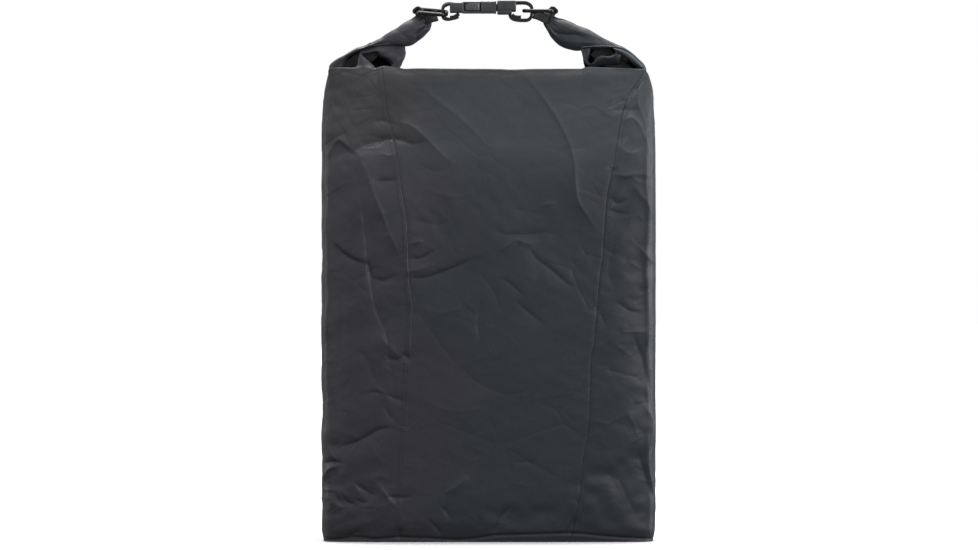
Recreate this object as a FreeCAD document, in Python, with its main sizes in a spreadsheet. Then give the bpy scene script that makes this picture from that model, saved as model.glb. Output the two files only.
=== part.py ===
import FreeCAD, Part
import math
import os

import Sketcher

# Roll-top stuff sack, standing on its base with its mouth rolled down behind the front panel and its two
# roll ends buckled together over the top as a handle.  Millimetres, +Z up, the front faces -Y, and the
# origin is the middle of the base.  The handle is symmetric about the plane x = handle_centre.

X_AXIS = FreeCAD.Vector(1, 0, 0)
Y_AXIS = FreeCAD.Vector(0, 1, 0)
Z_AXIS = FreeCAD.Vector(0, 0, 1)
UPRIGHT = FreeCAD.Rotation(X_AXIS, 90)        # a drawing's y runs up and its normal points forwards, to -Y
FLAT = 0.01                                   # an edge that rises less than this is level
LEAST_CUT = 1.0                               # a pocket must take at least this many cubic millimetres

DIMENSIONS = {
    # soft goods
    "fabric": 1.0,                  # wall, a stand-in for 0.2 mm coated nylon
    "tape": 0.6,                    # seam tape inside the walls
    "tape_width": 20.0,
    "hem_tape": 10.0,               # how far the base seam tape climbs the walls
    "tape_stop": 6.0,               # the upright tapes end this far under the fold
    "webbing": 1.4,                 # thickness of the woven straps
    # seams of the front panel, as distances across the front
    "seam_top": 440.0,
    "seam_middle": 220.0,
    "left_seam_top": -99.0,
    "left_seam_middle": -71.0,
    "left_seam_foot": -83.0,
    "right_seam_top": 143.0,
    "right_seam_middle": 101.0,
    "right_seam_foot": 77.0,
    "back_seam": 112.0,
    # rolled mouth
    "handle_centre": -3.0,
    "roll_depth": 14.0,             # the roll and the handle lie this far behind the middle
    "roll_thick": 9.0,
    "roll_low": 405.0,
    "roll_high": 435.0,
    "roll_half": 121.0,
    "roll_corner": 4.2,
    "strip": 1.0,                   # stiffener in the mouth hem
    "strip_width": 15.0,
    "strip_gap": 0.1,
    "strip_lowest": -10.5,          # in a roll end, measured from the line to its ring pin
    "strip_start": 2.0,
    "strip_end": 44.0,
    "strip_end_gap": 1.0,
    # cutting forms reach past what they cut
    "overrun": 2.0,
    "beyond_side": 200.0,
    "beyond_face": 100.0,
    # turned-up roll ends
    "pivot_reach": 140.0,
    "pivot_height": 437.5,
    "pin_reach": 63.5,
    "pin_height": 498.0,
    # rings
    "wire": 3.5,
    "ring_length": 27.0,            # bar to bar, between wire centres
    "ring_half_width": 14.75,
    "ring_corner": 5.0,
    "wire_rounding": 1.7,
    "left_ring_roll": 9.0,
    "left_ring_dip": 5.0,
    "right_ring_roll": 2.0,
    "tab_width": 19.0,
    "tab_eye": 3.7,
    "tab_length": 14.0,
    "tab_corner": 1.2,
    # side-release buckle for 25 mm webbing
    "buckle_height": 501.0,
    "buckle_half_width": 16.5,
    "buckle_corner": 2.5,
    "socket_thick": 10.5,
    "socket_end": -36.4,
    "socket_mouth": 7.4,
    "cavity_half_width": 13.6,
    "cavity_half_thick": 3.6,
    "cavity_depth": 27.0,
    "window_start": -23.5,
    "window_end": -6.5,
    "slot_half_width": 13.0,
    "bar_width": 3.2,
    "bar_half_thick": 2.6,
    "socket_slot": 7.2,
    "base_thick": 12.5,
    "base_start": 8.2,
    "base_end": 26.0,
    "base_slot": 5.8,
    "guide_tip": -14.0,
    "guide_half_width": 2.6,
    "guide_half_thick": 1.6,
    "latch_half_thick": 3.4,
    # webbing loops between buckle and rings
    "strap_width": 25.0,
    "strap_low": 488.6,
    "strap_high": 505.7,
    "strap_corner": 5.0,
    "socket_strap_inner": -29.3,
    "socket_strap_outer": -46.7,
    "base_strap_inner": 19.4,
    "base_strap_outer": 40.2,
}

# Level sections of the bag from the floor up: width, distance of front and back from the middle, corner.
LEVELS = {
    "base": {"height": 0.0, "width": 309.0, "front": 51.0, "back": 51.0, "corner": 12.0},
    "hem": {"height": 8.0, "width": 311.0, "front": 53.5, "back": 53.5, "corner": 18.0},
    "foot": {"height": 60.0, "width": 311.0, "front": 57.0, "back": 57.0, "corner": 30.0},
    "belly": {"height": 200.0, "width": 311.0, "front": 59.0, "back": 59.0, "corner": 36.0},
    "chest": {"height": 310.0, "width": 311.0, "front": 55.0, "back": 53.0, "corner": 33.0},
    "shoulder": {"height": 372.0, "width": 310.0, "front": 43.0, "back": 31.0, "corner": 20.0},
    "nape": {"height": 402.0, "width": 309.0, "front": 31.0, "back": 7.5, "corner": 6.0},
    "neck": {"height": 428.0, "width": 305.0, "front": 18.0, "back": 4.5, "corner": 4.5},
    "fold": {"height": 444.0, "width": 297.0, "front": 8.0, "back": 4.0, "corner": 3.5},
}

# Sections of a roll end along the line from its pivot to its ring pin: low and high edge from that line,
# and half its thickness front to back.
ROLL_STEPS = {
    "root": {"along": -11.5, "low": -4.5, "high": 4.5, "half": 3.4, "round": 3.0},
    "heel": {"along": -6.5, "low": -10.0, "high": 10.0, "half": 4.5, "round": 4.1},
    "turn": {"along": 2.0, "low": -11.8, "high": 11.8, "half": 4.6, "round": 4.2},
    "calf": {"along": 26.0, "low": -14.5, "high": 8.2, "half": 5.0, "round": 4.6},
    "lobe": {"along": 56.0, "low": -25.5, "high": 3.6, "half": 6.5, "round": 6.0},
    "gather": {"along": 80.0, "low": -22.0, "high": -0.2, "half": 8.6, "round": 8.0},
    "cuff": {"along": 91.5, "low": -17.0, "high": -5.6, "half": 10.6, "round": 5.0},
}

# Outline of one latch arm on the back side: distance along the buckle, distance from its middle.
LATCH_OUTLINE = [
    (7.4, 7.2), (7.4, 10.8), (-3.0, 12.4), (-6.4, 12.9), (-6.9, 16.2), (-14.5, 16.4),
    (-22.4, 14.2), (-23.2, 11.8), (-20.0, 10.2), (-10.0, 9.2), (0.0, 7.4),
]

doc = FreeCAD.newDocument("stuff_sack")
sheet = doc.addObject("Spreadsheet::Sheet", "dims")


def fill_sheet():
    """Write every driving dimension into the sheet under its own alias."""
    rows = dict(DIMENSIONS)
    for table in (LEVELS, ROLL_STEPS):
        for step, sizes in table.items():
            for key, value in sizes.items():
                rows[f"{step}_{key}"] = value
    for row, (alias, value) in enumerate(rows.items(), start=1):
        sheet.set(f"A{row}", alias)
        sheet.set(f"B{row}", str(value))
        sheet.setAlias(f"B{row}", alias)
    doc.recompute()


def bind(text):
    """Turn a formula in alias names into an expression on the sheet."""
    words = []
    word = ""
    for sign in text + " ":
        if sign.isalnum() or sign in "_.":
            word += sign
            continue
        words.append(f"dims.{word}" if word[:1].isalpha() else word)
        words.append(sign)
        word = ""
    return "".join(words).strip()


def value_of(text):
    """Evaluate a formula in alias names."""
    result = sheet.evalExpression(bind(text))
    return float(getattr(result, "Value", result))


def lock(sketch, kind, *items):
    """Add a driving constraint whose last item is a formula."""
    *places, formula = items
    index = sketch.addConstraint(Sketcher.Constraint(kind, *places, value_of(formula)))
    sketch.setExpression(f"Constraints[{index}]", bind(formula))


def draw_polygon(sketch, points):
    """Draw a closed outline of straight sides through corners given as pairs of formulas."""
    corners = [FreeCAD.Vector(value_of(across), value_of(up), 0) for across, up in points]
    first = sketch.GeometryCount
    count = len(points)
    for index in range(count):
        sketch.addGeometry(Part.LineSegment(corners[index], corners[(index + 1) % count]), False)
    for index, (across, up) in enumerate(points):
        line = first + index
        following = first + (index + 1) % count
        sketch.addConstraint(Sketcher.Constraint("Coincident", line, 2, following, 1))
        lock(sketch, "DistanceX", -1, 1, line, 1, across)
        lock(sketch, "DistanceY", -1, 1, line, 1, up)


def draw_rectangle(sketch, left, right, low, high):
    """Draw a sharp rectangle between four formulas."""
    draw_polygon(sketch, [(left, low), (right, low), (right, high), (left, high)])


def draw_rounded(sketch, left, right, low, high, corner):
    """Draw a rectangle with four equal round corners between four formulas."""
    x0, x1, y0, y1, r = (value_of(text) for text in (left, right, low, high, corner))
    first = sketch.GeometryCount
    sides = [((x0 + r, y0), (x1 - r, y0)), ((x1, y0 + r), (x1, y1 - r)),
             ((x1 - r, y1), (x0 + r, y1)), ((x0, y1 - r), (x0, y0 + r))]
    centres = [(x1 - r, y0 + r), (x1 - r, y1 - r), (x0 + r, y1 - r), (x0 + r, y0 + r)]
    for index in range(4):
        start, end = sides[index]
        sketch.addGeometry(Part.LineSegment(FreeCAD.Vector(*start, 0), FreeCAD.Vector(*end, 0)), False)
        circle = Part.Circle(FreeCAD.Vector(*centres[index], 0), Z_AXIS, r)
        begin = math.radians(270 + 90 * index)
        sketch.addGeometry(Part.ArcOfCircle(circle, begin, begin + math.pi / 2), False)
    for index in range(4):
        line = first + 2 * index
        arc = line + 1
        following = first + (2 * index + 2) % 8
        sketch.addConstraint(Sketcher.Constraint("Tangent", line, 2, arc, 1))
        sketch.addConstraint(Sketcher.Constraint("Tangent", arc, 2, following, 1))
    for index in range(3):
        sketch.addConstraint(Sketcher.Constraint("Equal", first + 1, first + 3 + 2 * index))
    lock(sketch, "Radius", first + 1, corner)
    sketch.addConstraint(Sketcher.Constraint("Horizontal", first))
    sketch.addConstraint(Sketcher.Constraint("Vertical", first + 2))
    lock(sketch, "DistanceY", -1, 1, first, 1, low)
    lock(sketch, "DistanceX", -1, 1, first + 2, 1, right)
    lock(sketch, "DistanceY", -1, 1, first + 4, 1, high)
    lock(sketch, "DistanceX", -1, 1, first + 6, 1, left)


def draw_circle(sketch, radius):
    """Draw a circle about a sketch's origin."""
    circle = sketch.addGeometry(Part.Circle(FreeCAD.Vector(), Z_AXIS, value_of(radius)), False)
    sketch.addConstraint(Sketcher.Constraint("Coincident", circle, 3, -1, 1))
    lock(sketch, "Radius", circle, radius)


def free_sketch(name, rotation=None, **places):
    """Make a sketch outside any body and bind its position."""
    sketch = doc.addObject("Sketcher::SketchObject", name)
    if rotation is not None:
        sketch.Placement = FreeCAD.Placement(FreeCAD.Vector(), rotation)
    for axis, formula in places.items():
        sketch.setExpression(f"Placement.Base.{axis}", bind(formula))
    return sketch


def body_sketch(body, name, plane, offset="0"):
    """Attach a sketch to one of a body's origin planes, moved along the plane's normal."""
    sketch = body.newObject("Sketcher::SketchObject", name)
    support = [item for item in body.Origin.OriginFeatures if item.Role == plane][0]
    sketch.AttachmentSupport = [(support, "")]
    sketch.MapMode = "FlatFace"
    sketch.setExpression("AttachmentOffset.Base.z", bind(offset))
    return sketch


def new_body(name):
    """Make an empty body whose label names its part."""
    body = doc.addObject("PartDesign::Body", name)
    doc.recompute()
    return body


def pad(body, sketch, name, length, both_ways=True, reverse=False):
    """Add material to a body from a sketch."""
    feature = body.newObject("PartDesign::Pad", name)
    feature.Profile = sketch
    feature.Midplane = both_ways
    feature.Reversed = reverse
    feature.setExpression("Length", bind(length))
    doc.recompute()
    return feature


def pocket(body, sketch, name, length, both_ways=True, reverse=False):
    """Take material from a body through a sketch, and make sure that it took some."""
    before = body.Shape.Volume
    feature = body.newObject("PartDesign::Pocket", name)
    feature.Profile = sketch
    feature.Midplane = both_ways
    feature.Reversed = reverse
    feature.setExpression("Length", bind(length))
    doc.recompute()
    if body.Shape.Volume > before - LEAST_CUT:
        raise RuntimeError(f"{name} cuts nothing")
    return feature


def combine(kind, name, first, second):
    """Make a boolean of two objects: Cut, Common or Fuse."""
    result = doc.addObject(f"Part::{kind}", name)
    result.Base = first
    result.Tool = second
    return result


def extrude(name, sketch, forwards, backwards):
    """Extrude an upright sketch towards -Y by one formula and towards +Y by another."""
    solid = doc.addObject("Part::Extrusion", name)
    solid.Base = sketch
    solid.DirMode = "Normal"
    solid.Solid = True
    solid.setExpression("LengthFwd", bind(forwards))
    solid.setExpression("LengthRev", bind(backwards))
    return solid


def block(name, left, right, front, back, low, high):
    """Make a box between six formulas."""
    solid = doc.addObject("Part::Box", name)
    solid.setExpression("Length", bind(f"({right}) - ({left})"))
    solid.setExpression("Width", bind(f"({back}) - ({front})"))
    solid.setExpression("Height", bind(f"({high}) - ({low})"))
    solid.setExpression("Placement.Base.x", bind(left))
    solid.setExpression("Placement.Base.y", bind(front))
    solid.setExpression("Placement.Base.z", bind(low))
    return solid


def mirrored(name, source):
    """Mirror a part of the left side of the handle to the right side."""
    twin = doc.addObject("Part::Mirroring", name)
    twin.Source = source
    twin.Normal = X_AXIS
    twin.setExpression("Base.x", bind("handle_centre"))
    return twin


# ---- bag ----------------------------------------------------------------------------------------------

def bag_form(name, inset):
    """Loft the bag's outside, or a form that lies a formula inside it and runs out of the mouth."""
    sections = []
    for level in LEVELS:
        height = f"{level}_height"
        if inset != "0" and level == "base":
            height = inset
        if inset != "0" and level == "fold":
            height = f"{level}_height + fabric"
        sketch = free_sketch(f"{name}_{level}", z=height)
        half = f"({level}_width / 2 - ({inset}))"
        front = f"-({level}_front - ({inset}))"
        back = f"{level}_back - ({inset})"
        draw_rounded(sketch, f"-{half}", half, front, back, f"{level}_corner - ({inset})")
        sections.append(sketch)
    form = doc.addObject("Part::Loft", name)
    form.Sections = sections
    form.Solid = True
    form.Ruled = True
    return form


def seam_corners(side, shift):
    """List a front seam's corners from the top down, moved across by a formula."""
    return [(f"{side}_seam_top + ({shift})", "fold_height + overrun"),
            (f"{side}_seam_middle + ({shift})", "seam_middle"),
            (f"{side}_seam_foot + ({shift})", "0")]


def make_bag():
    """Build the five fabric panels and the seam tapes inside them."""
    outside = bag_form("bag_outside", "0")
    inside = bag_form("bag_inside", "fabric")
    lining = bag_form("bag_lining", "fabric + tape")
    shell = combine("Cut", "bag_shell", outside, inside)
    tapes = combine("Cut", "tape_shell", inside, lining)
    floor = block("floor_slab", "-beyond_side", "beyond_side", "-beyond_face", "beyond_face", "0", "fabric")
    walls = combine("Cut", "bag_walls", shell, floor)
    combine("Common", "base_panel", shell, floor)
    make_panels(walls)
    make_tapes(tapes)


def make_panels(walls):
    """Split the walls along the four upright seams."""
    front_outline = free_sketch("front_outline", UPRIGHT)
    right_side = list(reversed(seam_corners("right", "0")))
    draw_polygon(front_outline, seam_corners("left", "0") + right_side)
    front_prism = extrude("front_prism", front_outline, "beyond_face", "0")
    back_prism = block("back_prism", "-back_seam", "back_seam", "0", "beyond_face",
                       "0", "fold_height + overrun")
    middle = combine("Fuse", "middle_prisms", front_prism, back_prism)
    combine("Common", "front_panel", walls, front_prism)
    combine("Common", "back_panel", walls, back_prism)
    edges = combine("Cut", "gusset_pair", walls, middle)
    left_side = block("left_side", "-beyond_side", "0", "-beyond_face", "beyond_face",
                      "-overrun", "fold_height + overrun")
    right_side = block("right_side", "0", "beyond_side", "-beyond_face", "beyond_face",
                       "-overrun", "fold_height + overrun")
    combine("Common", "left_gusset", edges, left_side)
    combine("Common", "right_gusset", edges, right_side)


def make_tapes(tapes):
    """Cut the seam tapes from the layer inside the walls."""
    hem_height = "fabric + hem_tape"
    above_hem = block("above_hem", "-beyond_side", "beyond_side", "-beyond_face", "beyond_face",
                      hem_height, "fold_height - tape_stop")
    wall_layer = combine("Common", "wall_layer", tapes, above_hem)
    for side in ("left", "right"):
        outline = free_sketch(f"{side}_band_outline", UPRIGHT)
        far_edge = list(reversed(seam_corners(side, "tape_width / 2")))
        draw_polygon(outline, seam_corners(side, "-tape_width / 2") + far_edge)
        band = extrude(f"{side}_band", outline, "beyond_face", "0")
        combine("Common", f"front_{side}_seam_tape", wall_layer, band)
    for side, sign in (("left", "-"), ("right", "")):
        seam = f"{sign}back_seam"
        band = block(f"back_{side}_band", f"{seam} - tape_width / 2", f"{seam} + tape_width / 2",
                     "0", "beyond_face", "0", "fold_height")
        combine("Common", f"back_{side}_seam_tape", wall_layer, band)
    hem_slab = block("hem_slab", "-beyond_side", "beyond_side", "-beyond_face", "beyond_face", "0", hem_height)
    hem_layer = combine("Common", "hem_layer", tapes, hem_slab)
    inner_half = "(base_width / 2 - tape_width)"
    inner_depth = "(base_front - tape_width)"
    middle = block("floor_middle", f"-{inner_half}", inner_half, f"-{inner_depth}", inner_depth,
                   "-overrun", "hem_tape + overrun")
    combine("Cut", "base_seam_tape", hem_layer, middle)


# ---- rolled mouth --------------------------------------------------------------------------------------

def make_collar():
    """Build the flattened roll behind the fold and the stiffener that runs through it."""
    body = new_body("collar_blank")
    section = body_sketch(body, "collar_section", "YZ_Plane", "handle_centre")
    draw_rounded(section, "roll_depth - roll_thick / 2", "roll_depth + roll_thick / 2",
                 "roll_low", "roll_high", "roll_corner")
    pad(body, section, "collar_pad", "2 * roll_half")
    reach = "(roll_half + overrun)"
    middle = "((roll_low + roll_high) / 2)"
    slot = block("collar_slot", f"handle_centre - {reach}", f"handle_centre + {reach}",
                 "roll_depth - strip / 2 - strip_gap", "roll_depth + strip / 2 + strip_gap",
                 f"{middle} - strip_width / 2 - strip_gap", f"{middle} + strip_width / 2 + strip_gap")
    combine("Cut", "rolled_collar", body, slot)
    block("collar_stiffener", "handle_centre - roll_half + overrun", "handle_centre + roll_half - overrun",
          "roll_depth - strip / 2", "roll_depth + strip / 2",
          f"{middle} - strip_width / 2", f"{middle} + strip_width / 2")


def roll_angle():
    """Slope of the line from a roll end's pivot to its ring pin, in degrees."""
    rise = value_of("pin_height - pivot_height")
    run = value_of("pivot_reach - pin_reach")
    return math.degrees(math.atan2(rise, run))


def along_roll(distance):
    """Formulas for the point on the left roll end's line at a distance from its pivot."""
    slope = roll_angle()
    across = f"handle_centre - pivot_reach + ({distance}) * {math.cos(math.radians(slope)):.6f}"
    up = f"pivot_height + ({distance}) * {math.sin(math.radians(slope)):.6f}"
    return across, up


def make_roll_end():
    """Build the left turned-up roll end, its stiffener and its webbing tab."""
    slope = roll_angle()
    tilt = FreeCAD.Rotation(Y_AXIS, -slope)
    facing = FreeCAD.Rotation(FreeCAD.Matrix(0, 0, 1, 0, 1, 0, 0, 0, 0, 1, 0, 0, 0, 0, 0, 1))
    sections = []
    for step in ROLL_STEPS:
        across, up = along_roll(f"{step}_along")
        sketch = free_sketch(f"roll_{step}", tilt.multiply(facing), x=across, y="roll_depth", z=up)
        draw_rounded(sketch, f"-{step}_half", f"{step}_half", f"{step}_low", f"{step}_high", f"{step}_round")
        sections.append(sketch)
    blank = doc.addObject("Part::Loft", "roll_end_blank")
    blank.Sections = sections
    blank.Solid = True
    blank.Ruled = True
    top = "strip_lowest + strip_width"
    slot = tilted_block("roll_end_slot", "strip_start - strip_end_gap", "strip_end + strip_end_gap",
                        "strip / 2 + strip_gap",
                        "strip_lowest - strip_gap", f"{top} + strip_gap")
    combine("Cut", "left_roll_end", blank, slot)
    tilted_block("left_stiffener", "strip_start", "strip_end", "strip / 2", "strip_lowest", top)


def tilted_block(name, start, end, half, low, high):
    """Make a box along the left roll end's line, with its low and high sides measured from that line."""
    slope = roll_angle()
    solid = doc.addObject("Part::Box", name)
    solid.setExpression("Length", bind(f"({end}) - ({start})"))
    solid.setExpression("Width", bind(f"2 * ({half})"))
    solid.setExpression("Height", bind(f"({high}) - ({low})"))
    rotation = FreeCAD.Rotation(Y_AXIS, -slope)
    corner = rotation.multVec(FreeCAD.Vector(value_of(start), 0, value_of(low)))
    across, up = along_roll("0")
    solid.Placement = FreeCAD.Placement(FreeCAD.Vector(), rotation)
    solid.setExpression("Placement.Base.x", bind(f"{across} + {corner.x:.6f}"))
    solid.setExpression("Placement.Base.y", bind(f"roll_depth - ({half})"))
    solid.setExpression("Placement.Base.z", bind(f"{up} + {corner.z:.6f}"))
    return solid


def tab_angle():
    """Direction from the ring pin to the middle of the roll's cuff, in degrees above level."""
    line = math.hypot(value_of("pin_height - pivot_height"), value_of("pivot_reach - pin_reach"))
    drop = value_of("(cuff_low + cuff_high) / 2")
    return roll_angle() + math.degrees(math.atan2(drop, value_of("cuff_along") - line))


def make_tabs():
    """Build the sewn webbing tab in the end of each roll, an eye on a doubled tongue."""
    body = new_body("tab_blank")
    tongue = body_sketch(body, "tab_tongue", "XZ_Plane")
    draw_rounded(tongue, "0", "tab_length", "-webbing", "webbing", "tab_corner")
    pad(body, tongue, "tab_tongue_pad", "tab_width")
    eye = body_sketch(body, "tab_eye_outside", "XZ_Plane")
    draw_circle(eye, "tab_eye + webbing")
    pad(body, eye, "tab_eye_pad", "tab_width")
    hole = body_sketch(body, "tab_eye_inside", "XZ_Plane")
    draw_circle(hole, "tab_eye")
    pocket(body, hole, "tab_eye_pocket", "tab_width + overrun")
    body.Placement = FreeCAD.Placement(FreeCAD.Vector(), FreeCAD.Rotation(Y_AXIS, -tab_angle()))
    body.setExpression("Placement.Base.x", bind("handle_centre - pin_reach"))
    body.setExpression("Placement.Base.y", bind("roll_depth"))
    body.setExpression("Placement.Base.z", bind("pin_height"))
    combine("Cut", "left_tab", body, doc.getObject("roll_end_blank"))
    mirrored("right_tab", doc.getObject("left_tab"))


def make_rings():
    """Build the two wire rings: one bar in the tab's eye, the other in the buckle's webbing loop."""
    turns = {
        "left_ring": FreeCAD.Rotation(Y_AXIS, value_of("left_ring_dip")).multiply(
            FreeCAD.Rotation(X_AXIS, value_of("left_ring_roll"))),
        "right_ring": FreeCAD.Rotation(Z_AXIS, 180).multiply(
            FreeCAD.Rotation(X_AXIS, -value_of("right_ring_roll"))),
    }
    for name, turn in turns.items():
        body = new_body(name)
        section = body_sketch(body, f"{name}_outline", "XY_Plane")
        for change in ("wire / 2", "-wire / 2"):
            half = f"(ring_half_width + {change})"
            draw_rounded(section, f"-({change})", f"ring_length + {change}", f"-{half}", half,
                         f"ring_corner + {change}")
        band = pad(body, section, f"{name}_band", "wire")
        rounding = body.newObject("PartDesign::Fillet", f"{name}_rounding")
        level_edges = [f"Edge{index}" for index, edge in enumerate(band.Shape.Edges, start=1)
                       if edge.BoundBox.ZLength < FLAT]
        rounding.Base = (band, level_edges)
        rounding.setExpression("Radius", bind("wire_rounding"))
        doc.recompute()
        sign = "-" if name == "left_ring" else "+"
        body.Placement = FreeCAD.Placement(FreeCAD.Vector(), turn)
        body.setExpression("Placement.Base.x", bind(f"handle_centre {sign} pin_reach"))
        body.setExpression("Placement.Base.y", bind("roll_depth"))
        body.setExpression("Placement.Base.z", bind("pin_height"))


# ---- buckle --------------------------------------------------------------------------------------------

def cut_bar_relief(body, name, face, into_plus_x):
    """Thin a webbing bar from above and below, between the cheeks of a buckle half."""
    sketch = body_sketch(body, f"{name}_relief", "YZ_Plane", face)
    left = "roll_depth - slot_half_width"
    right = "roll_depth + slot_half_width"
    draw_rectangle(sketch, left, right, "buckle_height + bar_half_thick", "buckle_height + base_thick")
    draw_rectangle(sketch, left, right, "buckle_height - base_thick", "buckle_height - bar_half_thick")
    pocket(body, sketch, f"{name}_relief_pocket", "bar_width", both_ways=False, reverse=into_plus_x)


def cut_webbing_slot(body, name, start, end):
    """Cut the slot beside a webbing bar, right through a buckle half."""
    sketch = body_sketch(body, f"{name}_slot", "XY_Plane", "buckle_height")
    draw_rectangle(sketch, start, end, "roll_depth - slot_half_width", "roll_depth + slot_half_width")
    pocket(body, sketch, f"{name}_slot_pocket", "2 * base_thick")


def make_socket():
    """Build the buckle's socket half: mouth, two side windows, webbing slot and bar."""
    body = new_body("buckle_socket")
    outline = body_sketch(body, "socket_outline", "XY_Plane", "buckle_height")
    draw_rounded(outline, "socket_end", "socket_mouth", "roll_depth - buckle_half_width",
                 "roll_depth + buckle_half_width", "buckle_corner")
    pad(body, outline, "socket_pad", "socket_thick")
    mouth = body_sketch(body, "socket_mouth_opening", "YZ_Plane", "socket_mouth")
    draw_rectangle(mouth, "roll_depth - cavity_half_width", "roll_depth + cavity_half_width",
                   "buckle_height - cavity_half_thick", "buckle_height + cavity_half_thick")
    pocket(body, mouth, "socket_cavity", "cavity_depth", both_ways=False)
    window = body_sketch(body, "socket_windows", "XZ_Plane", "-roll_depth")
    draw_rectangle(window, "window_start", "window_end",
                   "buckle_height - cavity_half_thick", "buckle_height + cavity_half_thick")
    pocket(body, window, "socket_window_pocket", "4 * buckle_half_width")
    slot_start = "socket_end + bar_width"
    cut_webbing_slot(body, "socket", slot_start, f"{slot_start} + socket_slot")
    cut_bar_relief(body, "socket", "socket_end", into_plus_x=True)


def make_plug():
    """Build the buckle's plug half: body with webbing slot and bar, and the centre guide."""
    body = new_body("buckle_plug")
    outline = body_sketch(body, "plug_outline", "XY_Plane", "buckle_height")
    draw_rounded(outline, "base_start", "base_end", "roll_depth - buckle_half_width",
                 "roll_depth + buckle_half_width", "buckle_corner")
    pad(body, outline, "plug_pad", "base_thick")
    guide = body_sketch(body, "guide_section", "YZ_Plane", "base_start")
    draw_rectangle(guide, "roll_depth - guide_half_width", "roll_depth + guide_half_width",
                   "buckle_height - guide_half_thick", "buckle_height + guide_half_thick")
    pad(body, guide, "guide_pad", "base_start - guide_tip", both_ways=False, reverse=True)
    slot_end = "base_end - bar_width"
    cut_webbing_slot(body, "plug", f"{slot_end} - base_slot", slot_end)
    cut_bar_relief(body, "plug", "base_end", into_plus_x=False)


def make_latches():
    """Build the plug's two springy latch arms, whose shoulders sit in the socket's windows."""
    for name, sign in (("latch_front", "-"), ("latch_back", "+")):
        body = new_body(name)
        outline = body_sketch(body, f"{name}_outline", "XY_Plane", "buckle_height")
        draw_polygon(outline, [(str(across), f"roll_depth {sign} {out}") for across, out in LATCH_OUTLINE])
        pad(body, outline, f"{name}_pad", "2 * latch_half_thick")


def make_straps():
    """Build the two sewn webbing loops that hold the rings on the buckle's bars."""
    ends = {
        "socket_strap": ("socket_strap_outer", "socket_strap_inner"),
        "plug_strap": ("base_strap_inner", "base_strap_outer"),
    }
    for name, (left, right) in ends.items():
        body = new_body(name)
        band = body_sketch(body, f"{name}_band", "XZ_Plane", "-roll_depth")
        draw_rounded(band, left, right, "strap_low", "strap_high", "strap_corner")
        draw_rounded(band, f"{left} + webbing", f"{right} - webbing", "strap_low + webbing",
                     "strap_high - webbing", "strap_corner - webbing")
        pad(body, band, f"{name}_pad", "strap_width")


# ---- all parts -----------------------------------------------------------------------------------------

NODES = [
    "front_panel", "back_panel", "left_gusset", "right_gusset", "base_panel",
    "front_left_seam_tape", "front_right_seam_tape", "back_left_seam_tape", "back_right_seam_tape",
    "base_seam_tape", "rolled_collar", "collar_stiffener", "left_roll_end", "right_roll_end",
    "left_stiffener", "right_stiffener", "left_tab", "right_tab", "left_ring", "right_ring",
    "socket_strap", "plug_strap", "buckle_socket", "buckle_plug", "latch_front", "latch_back",
]


def write_parts():
    """Check every object and write each sub-part to its own file."""
    doc.recompute()
    for item in doc.Objects:
        if "Invalid" in item.State or "Error" in item.State:
            raise RuntimeError(f"{item.Name} failed: {item.State}")
    os.makedirs("parts", exist_ok=True)
    for name in NODES:
        shape = doc.getObject(name).Shape
        if shape.isNull() or not shape.isValid():
            raise RuntimeError(f"{name} has no valid shape")
        shape.exportStep(f"parts/{name}.step")
        box = shape.optimalBoundingBox()
        print(f"{name}: {len(shape.Solids)} solid, {shape.Volume:.0f} mm3, x {box.XMin:.1f} {box.XMax:.1f}, "
              f"y {box.YMin:.1f} {box.YMax:.1f}, z {box.ZMin:.1f} {box.ZMax:.1f}")


fill_sheet()
make_bag()
make_collar()
make_roll_end()
mirrored("right_roll_end", doc.getObject("left_roll_end"))
mirrored("right_stiffener", doc.getObject("left_stiffener"))
make_tabs()
make_rings()
make_socket()
make_plug()
make_latches()
make_straps()
write_parts()
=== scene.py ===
import itertools
import math

import bmesh
import bpy
import numpy as np
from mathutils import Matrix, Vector


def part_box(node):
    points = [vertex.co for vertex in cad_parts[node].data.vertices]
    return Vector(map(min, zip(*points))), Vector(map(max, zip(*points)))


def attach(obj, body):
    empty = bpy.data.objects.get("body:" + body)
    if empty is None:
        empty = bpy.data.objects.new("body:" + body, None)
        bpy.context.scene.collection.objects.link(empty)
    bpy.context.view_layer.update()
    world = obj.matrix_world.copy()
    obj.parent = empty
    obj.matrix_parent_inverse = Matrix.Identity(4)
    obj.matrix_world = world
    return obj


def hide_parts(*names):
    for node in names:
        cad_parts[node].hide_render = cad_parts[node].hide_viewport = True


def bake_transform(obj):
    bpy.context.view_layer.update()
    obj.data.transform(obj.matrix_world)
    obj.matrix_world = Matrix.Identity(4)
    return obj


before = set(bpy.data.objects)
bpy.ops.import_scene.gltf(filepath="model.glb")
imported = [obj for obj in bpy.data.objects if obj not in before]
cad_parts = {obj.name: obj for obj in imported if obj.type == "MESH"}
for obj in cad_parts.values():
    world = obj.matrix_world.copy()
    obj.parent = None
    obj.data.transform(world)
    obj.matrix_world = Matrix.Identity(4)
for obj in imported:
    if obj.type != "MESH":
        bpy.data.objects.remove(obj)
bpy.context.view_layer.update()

MM = 0.001


# ---- sizes read from the frame ----

def node_range(node, axis):
    """Lowest and highest coordinate of a CAD node along one axis."""
    low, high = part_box(node)
    return low[axis], high[axis]


HALF_WIDTH = (node_range("right_gusset", 0)[1] - node_range("left_gusset", 0)[0]) / 2
FOLD = node_range("front_panel", 2)[1]                  # height of the fold at the top of the front
ROLL_MIDDLE = sum(node_range("rolled_collar", 1)) / 2   # depth of the roll's middle


# ---- small tools ----

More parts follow.
